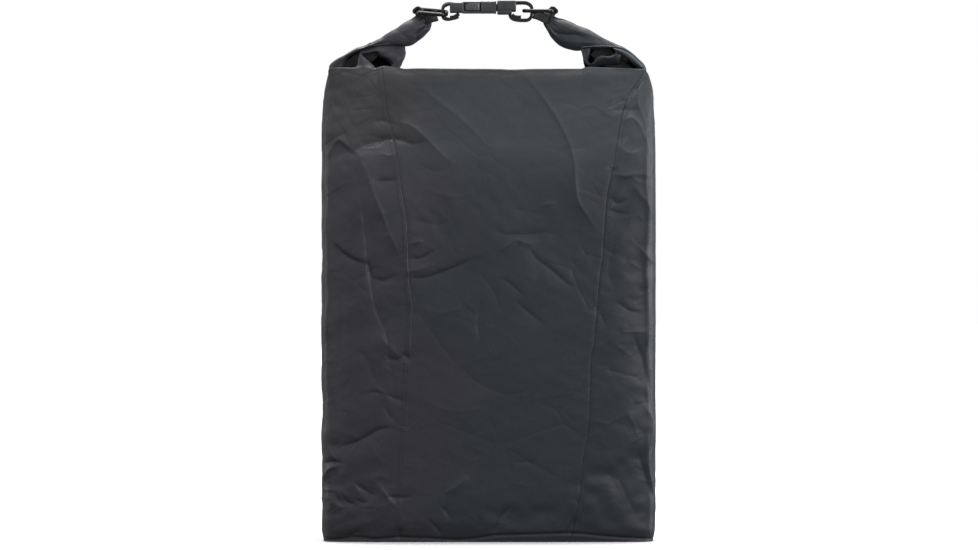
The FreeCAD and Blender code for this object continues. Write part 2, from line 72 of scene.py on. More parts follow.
def hermite(stations, values, where):
    """Smooth monotone curve through a few stations."""
    stations = np.asarray(stations, float)
    values = np.asarray(values, float)
    steps = np.diff(stations)
    slopes = np.diff(values) / steps
    tangents = np.zeros_like(values)
    same_way = slopes[:-1] * slopes[1:] > 0
    weights = steps[:-1] + steps[1:]
    with np.errstate(divide="ignore", invalid="ignore"):
        harmonic = 2 * slopes[:-1] * slopes[1:] / (slopes[:-1] + slopes[1:])
    tangents[1:-1] = np.where(same_way & (weights > 0), harmonic, 0)
    tangents[0], tangents[-1] = slopes[0], slopes[-1]
    where = np.clip(where, stations[0], stations[-1])
    cell = np.clip(np.searchsorted(stations, where) - 1, 0, len(stations) - 2)
    step = steps[cell]
    t = (where - stations[cell]) / step
    leaving = (t ** 3 - 2 * t ** 2 + t) * step * tangents[cell]
    arriving = (t ** 3 - t ** 2) * step * tangents[cell + 1]
    return ((2 * t ** 3 - 3 * t ** 2 + 1) * values[cell] + leaving
            + (3 * t ** 2 - 2 * t ** 3) * values[cell + 1] + arriving)


def smooth_step(low, high, value):
    """Ramp from 0 to 1 with level ends."""
    t = np.clip((value - low) / (high - low), 0, 1)
    return t * t * (3 - 2 * t)


def unit(vectors):
    """Scale vectors to length one."""
    vectors = np.asarray(vectors, float)
    return vectors / np.maximum(np.linalg.norm(vectors, axis=-1, keepdims=True), 1e-12)


def link_object(name, data):
    """Put a mesh, light or camera into the scene as an object."""
    obj = bpy.data.objects.new(name, data)
    bpy.context.scene.collection.objects.link(obj)
    return obj


def make_object(name, points, faces):
    """Make a smooth-shaded mesh object from points and faces."""
    mesh = bpy.data.meshes.new(name)
    corners = np.array([len(face) for face in faces])
    mesh.vertices.add(len(points))
    mesh.vertices.foreach_set("co", np.asarray(points, np.float32).ravel())
    mesh.loops.add(int(corners.sum()))
    mesh.loops.foreach_set("vertex_index", np.fromiter(itertools.chain.from_iterable(faces), np.int32))
    mesh.polygons.add(len(faces))
    mesh.polygons.foreach_set("loop_start", (np.cumsum(corners) - corners).astype(np.int32))
    mesh.polygons.foreach_set("use_smooth", [True] * len(faces))
    mesh.update(calc_edges=True)
    mesh.validate()
    return link_object(name, mesh)


def settle(piece, body=None, stands_for=()):
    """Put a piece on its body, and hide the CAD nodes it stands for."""
    if body:
        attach(piece, body)
    if stands_for:
        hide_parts(*stands_for)
    return piece


def grid_faces(rows, cols, closed=False):
    """Quads of a grid of points stored row by row."""
    index = np.arange(rows * cols).reshape(rows, cols)
    after = np.roll(index, -1, axis=1)
    if not closed:
        index, after = index[:, :-1], after[:, :-1]
    quads = np.stack([index[:-1], after[:-1], after[1:], index[1:]], axis=-1)
    return quads.reshape(-1, 4).tolist()


def grid_object(name, points, closed=False):
    """Make a surface from a grid of points with shape rows x columns x 3."""
    rows, cols = points.shape[:2]
    return make_object(name, points.reshape(-1, 3), grid_faces(rows, cols, closed))


def capped_tube(name, points):
    """Make a closed tube from a grid whose columns run round it, with a flat face at each end."""
    rows, cols = points.shape[:2]
    faces = grid_faces(rows, cols, closed=True)
    faces += [tuple(range(cols))[::-1], tuple((rows - 1) * cols + k for k in range(cols))]
    return make_object(name, points.reshape(-1, 3), faces)


def run_along(path):
    """Distance of each point of a path from its start."""
    steps = np.linalg.norm(np.diff(path, axis=0), axis=1)
    return np.concatenate([[0], np.cumsum(steps)])


# ---- bag: form ----

# Stations up the bag, in millimetres, for its half width, its front, its back and how square it is.
WIDTH_UP = ([0, 12, 60, 200, 340, 400, 416, 431, 440, 444],
            [154.2, 155.3, 155.5, 155.4, 155.5, 155.3, 155, 153.4, 151.6, 149.8])
FRONT_UP = ([0, 14, 60, 140, 230, 300, 335, 355, 380, 405, 425, 438, 444],
            [51, 54.5, 57, 58.5, 57, 54, 50.5, 45.5, 35, 24, 15.5, 9.5, 5])
BACK_UP = ([0, 14, 60, 140, 240, 310, 350, 385, 405, 425, 444],
           [51, 54.5, 57, 58.5, 57, 49, 37, 17, 7.6, 5.0, 3])
SQUARE_UP = ([0, 20, 60, 200, 330, 375, 405, 444], [8, 8, 8, 8.2, 7.6, 5.6, 3.8, 2.3])

# Seams of the front panel from the floor up, as distance across the front, in millimetres.
LEFT_SEAM = ([0, 180, 217, 245, 301, 322, 366, 400, 444], [-83, -73, -70.5, -74, -76, -80, -86, -94, -100])
RIGHT_SEAM = ([0, 37, 74, 118, 161, 196, 250, 277, 321, 355, 399, 416, 444],
              [76, 84, 88, 94, 95, 99, 104, 107, 110.5, 117, 125, 130.5, 146])
BACK_SEAM = 112.0                              # of both back seams, from the middle
SEAM_COLUMNS = [0.0, 0.5, 1.2, 4.2, 4.8, 5.6]  # distances from a seam at which its felled edge is shaped

# Grid of the simulated skin and how finely its columns (front, right gusset, back, left gusset) are divided.
COARSE_SECTORS = (24, 22, 26, 22)
COARSE_ROWS = 50
REFINE_ROWS = 8
REFINE_SECTORS = (9, 7, 5, 7)


def form_at(height):
    """Half width, front, back and squareness of the bag at heights in metres."""
    mm = np.asarray(height) / MM
    scale = HALF_WIDTH / (max(WIDTH_UP[1]) * MM)
    return (hermite(*WIDTH_UP, mm) * MM * scale, hermite(*FRONT_UP, mm) * MM,
            hermite(*BACK_UP, mm) * MM, hermite(*SQUARE_UP, mm))


def seam_angles(height):
    """Polar angles of the four seams round the bag's section, increasing round it from the front left."""
    half, front, back, power = (float(v) for v in form_at(height))
    left = float(hermite(*LEFT_SEAM, height / MM)) * MM
    right = float(hermite(*RIGHT_SEAM, height / MM)) * MM
    side = BACK_SEAM * MM

    def depth_at(across, depth):
        return depth * (1 - abs(across / half) ** power) ** (1 / power)

    start = math.atan2(-depth_at(left, front), left) % (2 * math.pi)
    second = math.atan2(-depth_at(right, front), right) % (2 * math.pi)
    third = 2 * math.pi + math.atan2(depth_at(side, back), side)
    fourth = 2 * math.pi + math.atan2(depth_at(-side, back), -side)
    return [start, second, third, fourth, start + 2 * math.pi]


def section_point(angle, half, front, back, power):
    """Points of the bag's section at polar angles."""
    c, s = np.cos(angle), np.sin(angle)
    depth = np.where(s < 0, front, back)
    radius = (np.abs(c / half) ** power + np.abs(s / depth) ** power) ** (-1 / power)
    return radius * c, radius * s


def sector_fractions(length, count):
    """Places of the columns across one panel of a given length, closer together beside its seams."""
    edge = np.array(SEAM_COLUMNS) * MM / length
    middle = np.linspace(edge[-1], 1 - edge[-1], count + 1)[1:-1]
    return np.concatenate([edge, middle, (1 - edge)[::-1][:-1]])


def bag_grid(heights, counts, near_seams):
    """Points of the bag's skin, with for each the sector it is in and how far across that it lies."""
    rows, places, lengths = [], [], []
    for height in heights:
        half, front, back, power = (float(v) for v in form_at(height))
        angles = seam_angles(height)
        row, place, span = [], [], []
        for sector in range(4):
            fine = np.linspace(angles[sector], angles[sector + 1], 500)
            x, y = section_point(fine, half, front, back, power)
            arc = np.concatenate([[0], np.cumsum(np.hypot(np.diff(x), np.diff(y)))])
            if near_seams:
                share = sector_fractions(arc[-1], counts[sector])
            else:
                share = np.arange(counts[sector]) / counts[sector]
            across = share * arc[-1]
            level = np.full(len(share), height)
            row.append(np.stack([np.interp(across, arc, x), np.interp(across, arc, y), level], axis=-1))
            place.append(sector + share)
            span.append(np.full(len(share), arc[-1]))
        rows.append(np.concatenate(row))
        places.append(np.concatenate(place))
        lengths.append(np.concatenate(span))
    return np.array(rows), np.array(places), np.array(lengths)


# ---- bag: slack and creases ----

SLACK_FRAMES = 25        # the simulation stops while the cloth is still crumpled
SURPLUS = 0.035          # how much wider the cloth is cut than the bag's form
MOST_SLACK = 7 * MM      # cap on how far a point may move


def simulate_slack(points):
    """Let the coarse skin swell and sag as slack cloth, and return how far each point moved."""
    rows, cols = points.shape[:2]
    rng = np.random.default_rng(7)
    cloth = grid_object("slack_cloth", points + rng.normal(0, 0.3 * MM, points.shape), closed=True)
    pins = cloth.vertex_groups.new(name="pins")
    pins.add([*range(cols), *range((rows - 1) * cols, rows * cols)], 1.0, "REPLACE")
    settings = cloth.modifiers.new("cloth", "CLOTH").settings
    settings.quality = 7
    settings.mass = 0.012
    settings.tension_stiffness = 30
    settings.compression_stiffness = 30
    settings.shear_stiffness = 12
    settings.bending_stiffness = 0.02
    settings.vertex_group_mass = "pins"
    settings.use_pressure = True
    settings.uniform_pressure_force = 0.35
    settings.shrink_min = -SURPLUS
    settings.shrink_max = -SURPLUS
    settings.effector_weights.gravity = 0.35
    scene = bpy.context.scene
    for step in range(1, SLACK_FRAMES + 1):
        scene.frame_set(step)
    result = cloth.evaluated_get(bpy.context.evaluated_depsgraph_get())
    moved = np.zeros(rows * cols * 3)
    result.data.vertices.foreach_get("co", moved)
    mesh = cloth.data
    bpy.data.objects.remove(cloth)
    bpy.data.meshes.remove(mesh)
    scene.frame_set(1)
    return moved.reshape(points.shape) - points


def cubic_weights(t):
    """Catmull-Rom weights of four neighbours."""
    return (0.5 * (-t + 2 * t ** 2 - t ** 3), 0.5 * (2 - 5 * t ** 2 + 3 * t ** 3),
            0.5 * (t + 4 * t ** 2 - 3 * t ** 3), 0.5 * (t ** 3 - t ** 2))


def spread_slack(slack, row_places, col_places):
    """Interpolate a coarse displacement at fractional rows and columns; the columns run round the bag."""
    rows, cols = slack.shape[:2]
    base = np.floor(row_places).astype(int)
    tall = sum(w[:, None, None] * slack[np.clip(base + k - 1, 0, rows - 1)]
               for k, w in enumerate(cubic_weights(row_places - base)))
    base = np.floor(col_places).astype(int)
    row_index = np.arange(len(tall))[:, None]
    return sum(w[..., None] * tall[row_index, (base + k - 1) % cols]
               for k, w in enumerate(cubic_weights(col_places - base)))


# Creases of the front, as (points across and up in mm, height, width above or left of it, width on its other
# side).  A positive height is a ridge.
FRONT_CREASES = [
    # long pleat below the left shoulder: thin valley, dark flank and lit ridge
    ([(-123, 363), (-121, 335), (-116.5, 308), (-114, 282), (-111, 252),
      (-104, 216), (-95, 194), (-92.5, 169), (-88, 139)],
     
     -0.9, 2.2, 2.6),
    ([(-124, 364), (-115.5, 348), (-108, 326), (-100, 306), (-92.5, 287), (-83, 266)], 2.6, 24, 8),
    ([(-151, 358), (-146, 367), (-140, 374.5), (-133, 370), (-126, 364)], 1.9, 14, 2.2),
    ([(-138, 372), (-132, 366), (-126, 361)], -1.2, 1.6, 3),
    ([(-126, 364), (-115.5, 371.7), (-102.4, 375.7), (-92, 377.5), (-80.6, 375.7), (-71.8, 372), (-60, 373)],
     -2.0, 3.5, 9),
    ([(-100, 362), (-92, 360), (-86, 362)], 0.8, 3, 4),
    ([(-110, 392), (-101, 394.5), (-92, 392), (-84, 389)], -0.8, 2.4, 4),
    ([(-86, 393), (-72, 388), (-56, 374), (-42, 360), (-30, 352)], 1.5, 8, 14),
    ([(-60, 424), (-46, 411), (-32, 400), (-15, 385), (-2, 371), (12, 366)], 1.2, 10, 18),
    ([(-109, 336), (-98, 337), (-83, 338)], -1.2, 2.4, 5),
    # diagonal ridge of the right shoulder
    ([(31, 440), (41, 430.5), (55, 410), (64, 395.7), (71.6, 381.6),
      (77, 367.4), (80.3, 352), (81, 334), (83, 317)],
     
     0.85, 4, 2.6),
    ([(77, 367.4), (80.3, 352), (81, 334), (84, 317), (92.3, 304), (101, 291)], 1.6, 18, 7),
    ([(112, 406), (120.7, 411.5), (129.4, 415)], -1.2, 2.0, 4),
    ([(114, 402.8), (127, 405.2), (142, 403.4)], -1.1, 2.0, 5),
    ([(124, 392), (134, 396), (142, 388), (148, 370)], 1.5, 4, 12),
    ([(120, 372), (132, 362), (146, 366)], 1.0, 6, 9),
    ([(116, 344), (128, 341), (140, 343), (152, 340)], 1.7, 12, 4),
    ([(112, 351), (116, 347), (120, 349)], -1.2, 1.8, 2.6),
    ([(114, 322), (120, 316), (130, 320), (136, 329)], -1.1, 3, 5),
    ([(138, 330), (146, 318), (152, 300)], 1.5, 4, 8),
    ([(112, 310), (122, 307), (133, 306)], -0.9, 2.4, 5),
    ([(141, 276), (147, 266), (154, 260)], 1.3, 3, 4),
    ([(2.9, 291), (18.2, 287), (42, 287), (55, 289), (68.3, 284.5)], -0.8, 4, 6),
    ([(9.4, 271.4), (20.4, 279), (27, 282.3), (35.6, 279), (43.3, 280)], 1.0, 2.2, 7),
    ([(38.9, 273.6), (44.3, 265), (53, 258.3), (64, 249.6), (72.7, 242), (80.3, 237.6)], -1.0, 2.2, 5),
    ([(46.5, 314), (55, 315), (64, 317)], 0.6, 2.4, 3),
    ([(-145, 279), (-135, 269.2), (-124, 262.7), (-113, 259.4)], -2.4, 2.0, 8),
    ([(-113, 262), (-110, 252), (-107, 243)], -1.2, 2.0, 2.2),
    ([(-110, 247.4), (-98, 244), (-85, 249.6)], -1.2, 2.0, 6),
    ([(-74, 278), (-67, 280), (-61, 282)], 0.9, 2.0, 3),
    ([(-74, 265), (-63, 265), (-50, 272.5)], -1.3, 2.0, 5),
    ([(-76, 247.4), (-63, 246.3), (-50, 249.6), (-32.6, 256), (-15, 264)], -1.5, 2.2, 8),
    ([(-80, 253), (-66, 254), (-50, 260)], 0.9, 3, 5),
    ([(12, 246), (22, 240), (32, 230)], -0.7, 2.4, 6),
    ([(26, 224), (38, 214), (52, 203)], -0.7, 2.4, 6),
    ([(-8, 250), (4, 236), (12, 214)], -0.5, 6, 8),
    ([(-6, 226), (-10, 206), (-8, 188)], -0.8, 2.4, 4),
    ([(-96, 175), (-88, 170), (-78, 173)], -1.0, 2.6, 4),
    ([(-80, 176), (-75, 172), (-74, 168)], -1.6, 2.4, 3.4),
    ([(-113, 140), (-102, 139.5), (-91, 135.7), (-78, 131)], -1.0, 1.8, 3),
    ([(-107, 146), (-98, 139), (-90, 133)], 0.9, 1.8, 3),
    ([(-97, 127), (-92, 118), (-86, 112)], -0.9, 2.4, 3),
    ([(-136, 89.8), (-125, 93), (-114.4, 98.3), (-103.7, 104.7), (-93, 107)], -2.3, 1.8, 8),
    ([(-154, 107), (-150.7, 90), (-144.3, 79), (-136.8, 73.8)], 1.9, 3, 5),
    ([(-154, 55.6), (-150.7, 64), (-146.4, 69.5), (-137.9, 71.6)], 1.6, 3, 4),
    ([(-153, 73.8), (-144.3, 74.8), (-135.8, 73.8)], -1.9, 1.8, 2.2),
    ([(-146, 49), (-140, 41), (-135, 34.5)], -1.3, 1.8, 3),
    ([(-139, 47), (-132, 38), (-124, 35)], -1.3, 1.8, 3),
    ([(-151, 46), (-143, 36), (-135, 31)], 1.2, 2.6, 3),
    ([(-125, 56), (-116, 49), (-106, 42.8)], -1.3, 1.8, 4),
    ([(-126, 41), (-118, 37), (-113, 37)], -1.0, 1.8, 3),
    ([(-104, 56), (-99.4, 49), (-93, 40.7), (-86.6, 33)], 1.3, 2.4, 6),
    ([(-95, 42.8), (-82.4, 41.5), (-71.7, 42.8)], -1.1, 1.8, 4),
    ([(-112, 60), (-100, 62), (-90, 58)], 0.8, 6, 8),
    ([(-41.8, 46), (-31, 51.3), (-18.3, 62)], 1.0, 4, 6),
    ([(-56.7, 21.4), (-48.2, 12.9), (-43.9, 6.5)], -1.3, 2.2, 5),
    ([(-44, 34), (-39, 28), (-35, 21)], -0.9, 2.2, 4),
    ([(-136, 5.4), (-127, 6.5), (-120, 11)], -1.6, 2, 4),
    ([(-83, 13), (-83, 9), (-82.4, 4)], -1.4, 2, 2.6),
    ([(3, 7), (7, 14), (12, 24), (22, 34)], -1.3, 2.4, 6),
    ([(62, 9), (74, 28), (80, 40)], 0.9, 8, 5),
    ([(72, 8), (77, 15), (80, 22)], -1.5, 2.4, 4),
    ([(24, 74), (36, 75), (46, 72)], -0.6, 3, 5),
    ([(-30, 168), (-12, 150), (16, 138), (40, 142)], -0.6, 12, 14),
    ([(118, 280), (112, 252), (120, 232)], -0.7, 6, 8),
    ([(96, 226), (104, 214), (110, 200)], -0.7, 3, 6),
    ([(120, 224), (132, 216), (142, 214)], -0.8, 3, 5),
    ([(-106, 196), (-92, 182), (-80, 168)], 1.2, 8, 10),
    ([(-122, 182), (-112, 168), (-106, 150)], -0.9, 7, 8),
    ([(-140, 240), (-136, 210), (-138, 180)], -0.9, 6, 8),
    ([(-60, 330), (-34, 322), (-12, 326)], 0.7, 12, 16),
    ([(-64, 352), (-50, 346), (-34, 350)], -0.6, 5, 9),
    ([(-70, 302), (-48, 296), (-30, 302)], -0.7, 8, 12),
    ([(-64, 220), (-44, 214), (-24, 220)], 0.7, 10, 14),
    ([(-60, 132), (-30, 122), (0, 126)], 0.6, 14, 18),
]

# Creases of the right and left edges, which show as crossing folds down each side.
EDGE_CREASES = [
    ([(143, 408), (147, 380), (146, 340), (148, 300), (146, 262), (148, 214), (147, 160), (149, 108)],
     2.1, 13, 3.0),
    ([(149, 120), (147, 84), (149, 50), (150, 20)], 1.5, 9, 3.0),
    ([(144, 130), (152, 110), (147, 84), (142, 66)], 1.6, 3, 4),
    ([(155, 96), (148, 74), (152, 48), (155, 24)], 1.6, 2.6, 4),
    ([(140, 84), (146, 62), (152, 40)], -1.6, 2.4, 4),
    ([(136, 190), (144, 170), (150, 140)], -1.2, 3, 6),
    ([(149, 440), (142, 430), (136, 421), (132, 414)], -1.5, 2.2, 4),
    ([(146, 438), (141, 424), (140, 410), (145, 396)], 1.3, 4, 6),
    ([(-150, 424), (-145, 398), (-147, 376)], 1.2, 5, 6),
    ([(-151, 356), (-150, 330), (-151, 290), (-149, 240), (-151, 190), (-150, 130)], 0.9, 2.0, 6),
]


def polyline_distance(x, z, points):
    """Distance, side and place along a polyline for points of the front."""
    best = np.full(x.shape, 1e9)
    side = np.zeros(x.shape)
    place = np.zeros(x.shape)
    lengths = [math.dist(a, b) for a, b in zip(points, points[1:])]
    total = sum(lengths)
    run = 0.0
    for (x0, z0), (x1, z1), length in zip(points, points[1:], lengths):
        dx, dz = (x1 - x0) / length, (z1 - z0) / length
        t = np.clip((x - x0) * dx + (z - z0) * dz, 0, length)
        away_x, away_z = x - x0 - t * dx, z - z0 - t * dz
        distance = np.hypot(away_x, away_z)
        closer = distance < best
        best = np.where(closer, distance, best)
        side = np.where(closer, away_z * dx - away_x * dz, side)
        place = np.where(closer, (run + t) / total, place)
        run += length
    return best, side, place


def smooth_line(points, steps=5):
    """Round a short polyline's corners with a Catmull-Rom curve."""
    pts = np.array([points[0]] + list(points) + [points[-1]], float)
    line = []
    for k in range(1, len(pts) - 2):
        for t in np.linspace(0, 1, steps, endpoint=False):
            line.append(tuple(sum(w * pts[k - 1 + i] for i, w in enumerate(cubic_weights(t)))))
    line.append(tuple(pts[-2]))
    return line


def crease_heights(points, creases, gain):
    """Height of all creases at each point of the front half, in metres."""
    flat = points.reshape(-1, 3)
    x, z = flat[:, 0] / MM, flat[:, 2] / MM
    front = smooth_step(6 * MM, -4 * MM, flat[:, 1])
    total = np.zeros(x.shape)
    for line, height, before, after in creases:
        reach = 5 * max(before, after)
        low, high = np.min(line, axis=0) - reach, np.max(line, axis=0) + reach
        inside = (x > low[0]) & (x < high[0]) & (z > low[1]) & (z < high[1])
        near = np.nonzero((front > 0) & inside)[0]
        distance, side, place = polyline_distance(x[near], z[near], smooth_line(line))
        width = np.where(side > 0, before, after)
        fade = np.clip(np.sin(np.pi * np.clip(place, 0.02, 0.98)), 0, 1) ** 0.6
        flank = 0.95 * np.exp(-distance / width) + 0.1 * np.exp(-(distance / 1.5) ** 2)
        total[near] += height * fade * flank
    return (total * front).reshape(points.shape[:-1]) * MM * gain


def crumple_layer(u, v, cell, width, seed, lean):
    """Crisp creases along the borders of random cells of a given size; u and v are in millimetres."""
    rng = np.random.default_rng(seed)
    u, v = u + lean * v, v - 0.25 * lean * u
    low_u, high_u, low_v, high_v = u.min() - cell, u.max() + cell, v.min() - cell, v.max() + cell
    across = np.arange(low_u, high_u, cell)
    up = np.arange(low_v, high_v, cell * 0.8)
    seeds = np.stack(np.meshgrid(across, up, indexing="ij"), -1)
    seeds = seeds + rng.uniform(-0.5, 0.5, seeds.shape) * np.array([cell, 0.8 * cell])
    cell_u = np.clip(((u - low_u) / cell).astype(int), 0, len(across) - 1)
    cell_v = np.clip(((v - low_v) / (0.8 * cell)).astype(int), 0, len(up) - 1)
    first = np.full(u.shape, 1e9)
    second = np.full(u.shape, 1e9)
    for du in (-1, 0, 1, 2):
        for dv in (-1, 0, 1, 2):
            near = seeds[np.clip(cell_u + du, 0, len(across) - 1), np.clip(cell_v + dv, 0, len(up) - 1)]
            distance = np.hypot(u - near[..., 0], v - near[..., 1])
            second = np.minimum(second, np.maximum(first, distance))
            first = np.minimum(first, distance)
    border = second - first
    broken = smooth_step(0.35, 0.65, smooth_noise(np.stack([u, v, 0 * u], -1), 1.5 * cell, seed + 50))
    return np.exp(-border / width) * broken - 0.5 * np.clip(border / cell, 0, 0.6)


PANEL_STARTS = (0.0, 215.0, 430.0, 660.0)         # where each panel starts round the bag, in millimetres

# Layers of crumples: height, size of the cells, width of a crease, seed, lean, and the noise levels between
# which the layer comes in.
CRUMPLES = [(-0.62, 52, 2.0, 31, 0.5, (0.35, 0.7)), (0.52, 38, 1.8, 32, -0.7, (0.4, 0.7)),
            (-0.34, 19, 1.3, 33, 0.3, (0.4, 0.75)), (0.24, 12, 1.0, 34, -0.4, (0.45, 0.8))]


def crumple_heights(skin, places, lengths):
    """Small crisp wrinkles of stiff thin cloth all over the skin, in metres."""
    panel = np.floor(places).astype(int)
    arc = np.array(PANEL_STARTS)[panel] + (places - panel) * lengths / MM
    x, z = skin[..., 0] / MM, skin[..., 2] / MM
    on_front = skin[..., 1] < 0
    coarse, fine = smooth_noise(skin, 90 * MM, 21), smooth_noise(skin, 55 * MM, 22)
    strong = 0.35 + 0.65 * smooth_step(40, 150, np.abs(x + 5))
    strong *= 1 - 0.3 * smooth_step(60, 100, x) * on_front
    low = 1 + smooth_step(120, 30, z) * np.where(on_front, 0.5 - 0.75 * smooth_step(-20, 70, x), 0.5)
    total = np.zeros(x.shape)
    for (height, *layer, shown), patches in zip(CRUMPLES, (coarse, 1 - coarse, fine, 1 - fine)):
        total += height * crumple_layer(arc, z, *layer) * smooth_step(*shown, patches)
    uneven = skin * np.array([1.0, 1.0, 1.8])
    total += ripple(uneven, 60 * MM, 0.55, 23) + ripple(uneven, 26 * MM, 0.16, 24)
    return total * strong * low * MM


def smooth_noise(points, length, seed):
    """Slow noise from 0 to 1."""
    return 0.5 + 0.5 * np.clip(ripple(points, length, 1.0, seed), -1, 1)


def ripple(points, length, height, seed):
    """Soft uneven ripples with a given wave length and height, both in metres."""
    rng = np.random.default_rng(seed)
    total = np.zeros(points.shape[:-1])
    for _ in range(14):
        way = unit(rng.normal(size=3)) * 2 * math.pi / (length * rng.uniform(0.6, 1.6))
        total += np.sin(points @ way + rng.uniform(0, 2 * math.pi))
    return total * height / 3.7


def grid_normals(points, closed=True):
    """Outward normals of a grid that runs round the bag and up it."""
    if closed:
        across = np.roll(points, -1, axis=1) - np.roll(points, 1, axis=1)
    else:
        across = np.gradient(points, axis=1)
    up = np.gradient(points, axis=0)
    return unit(np.cross(across, up))


# Height of the seam between front and base along the front, in millimetres.
BASE_SEAM = ([-156, -140, -125, -104, -83, -48, -29, -8, 9, 45, 77, 112, 142, 156],
             [1.5, 2.6, 4.6, 3.0, 4.6, 3.3, 2.4, 4.3, 6.6, 7.6, 8.4, 5.4, 3.3, 2.4])
BASE_GROOVE = 2.2 * MM       # depth of the groove along that seam
BASE_STEP = 0.4 * MM         # how far the cloth below that seam stands back
TOP_EDGE = 1.4 * MM          # of the panels below the line of the fold
PROUD = 1.0 * MM             # how far the cloth may stand out past the CAD's sides
LOWEST = 0.2 * MM            # of the skin above the floor
CREASE_GAIN = 1.4


def add_slack(skin, coarse, row_places, col_places):
    """Move the fine skin as the simulated coarse one moved, less on the front and near the floor and fold."""
    slack = simulate_slack(coarse)
    size = np.linalg.norm(slack, axis=-1, keepdims=True)
    slack *= np.minimum(1, MOST_SLACK / np.maximum(size, 1e-9))
    moved = spread_slack(slack, row_places, col_places)
    calm = 0.22 + 0.78 * smooth_step(-35 * MM, 10 * MM, skin[..., 1])
    moved[..., 0] *= 0.35
    ends = smooth_step(0, 20 * MM, skin[..., 2]) * smooth_step(FOLD, FOLD - 85 * MM, skin[..., 2])
    skin += moved * (calm * ends)[..., None]


def build_skin():
    """Shape the whole skin of the bag: form, slack, creases and felled seams."""
    coarse, _, _ = bag_grid(np.linspace(0, FOLD, COARSE_ROWS), COARSE_SECTORS, False)
    low_rows = np.arange(0, 12.1, 1.0) * MM
    rest = np.linspace(low_rows[-1], FOLD, (COARSE_ROWS - 1) * REFINE_ROWS)[1:]
    heights = np.concatenate([low_rows, rest])
    counts = [fine * cells for fine, cells in zip(REFINE_SECTORS, COARSE_SECTORS)]
    skin, places, lengths = bag_grid(heights, counts, True)
    starts = np.concatenate([[0], np.cumsum(COARSE_SECTORS)])
    sector = np.floor(places).astype(int)
    col_places = starts[sector] + (places - sector) * np.array(COARSE_SECTORS)[sector]
    row_places = heights / FOLD * (COARSE_ROWS - 1)
    add_slack(skin, coarse, row_places, col_places)
    normals = grid_normals(skin)
    height = sum(crease_heights(skin, creases, CREASE_GAIN) for creases in (FRONT_CREASES, EDGE_CREASES))
    height += crumple_heights(skin, places, lengths)
    skin += normals * height[..., None]
    skin += grid_normals(skin) * seam_relief(skin, places, sector, lengths)[..., None]
    above_seam = skin[..., 2] - hermite(*BASE_SEAM, skin[..., 0] / MM) * MM
    below = smooth_step(1.2 * MM, -0.2 * MM, above_seam)
    on_front = skin[..., 1] < -30 * MM
    groove = np.exp(-(above_seam / (1.1 * MM)) ** 2)
    skin[..., 1] += np.where(on_front, below * BASE_STEP + groove * BASE_GROOVE, 0)
    top = smooth_step(FOLD - 40 * MM, FOLD, skin[..., 2])
    skin[..., 2] += top * (hermite(*FOLD_LINE, skin[..., 0] / MM) * MM - TOP_EDGE - FOLD)
    skin[..., 0] = np.clip(skin[..., 0], -HALF_WIDTH - PROUD, HALF_WIDTH + PROUD)
    skin[..., 2] = np.maximum(skin[..., 2], LOWEST)
    return skin, places, sector


FELL_HEIGHT = 0.14 * MM      # of the doubled edge of a felled seam
STITCH_DIP = 0.07 * MM
SEAM_GROOVE = 0.75 * MM


def seam_relief(skin, places, sector, lengths):
    """Height of the felled seams: a doubled edge beside each seam on the gusset side."""
    share = places - sector
    from_start = share * lengths
    from_end = (1 - share) * lengths
    gusset = (sector % 2) == 1
    nearest = np.minimum(from_start, from_end)
    fold = smooth_step(5.2 * MM, 4.3 * MM, nearest) * smooth_step(-0.3 * MM, 0.5 * MM, nearest)
    groove = np.exp(-(nearest / (0.45 * MM)) ** 2)
    stitched = np.exp(-((nearest - 4.5 * MM) / (0.6 * MM)) ** 2)
    shown = np.where(skin[..., 0] < 0, 0.1 + 0.5 * smooth_step(160 * MM, 200 * MM, skin[..., 2]), 0.8)
    return (np.where(gusset, fold * FELL_HEIGHT - stitched * STITCH_DIP, 0) - groove * SEAM_GROOVE) * shown


PANELS = ["front_panel", "right_gusset", "back_panel", "left_gusset"]
SEAMS = ["front_left", "front_right", "back_right", "back_left"]       # at the start of each panel


def make_panels():
    """Cut the skin into its four panels along the seams."""
    skin, _, sector = build_skin()
    panels = []
    for index, node in enumerate(PANELS):
        cols = np.where(sector[0] == index)[0]
        cols = np.append(cols, (cols[-1] + 1) % skin.shape[1])
        panels.append(settle(grid_object(f"{node}_cloth", skin[:, cols]), "bag", [node]))
    return skin, sector, panels


def make_base(skin):
    """Close the bag underneath with a base that hangs a little and lies on the floor."""
    rim = skin[0]
    rings = [rim]
    for step in (0.985, 0.96, 0.9, 0.8, 0.6, 0.4, 0.2, 0.05):
        ring = rim.copy()
        ring[:, :2] *= step
        ring[:, 2] = 0.25 * MM + 0.5 * MM * (1 - step) * np.sin(np.arange(len(rim)) * 0.13)
        rings.append(ring)
    piece = grid_object("base_panel_cloth", np.array(rings)[::-1], closed=True)
    return settle(piece, "bag", ["base_panel"])


# ---- rolled mouth ----

# Height of the fold across the bag, in millimetres.
FOLD_LINE = ([-152, -148, -133, -127, -106, -102, -98, -91, -85, -78, -66, -32,
              11, 20, 47, 87, 91, 95, 103, 114, 136, 147, 151],
             [440, 443.8, 444, 443.8, 443.5, 444.9, 445.7, 444.9, 444, 442.9, 443.3, 443,
              442.7, 442.2, 442.9, 442.9, 444.2, 444.8, 444.4, 443.9, 443.1, 442, 440])

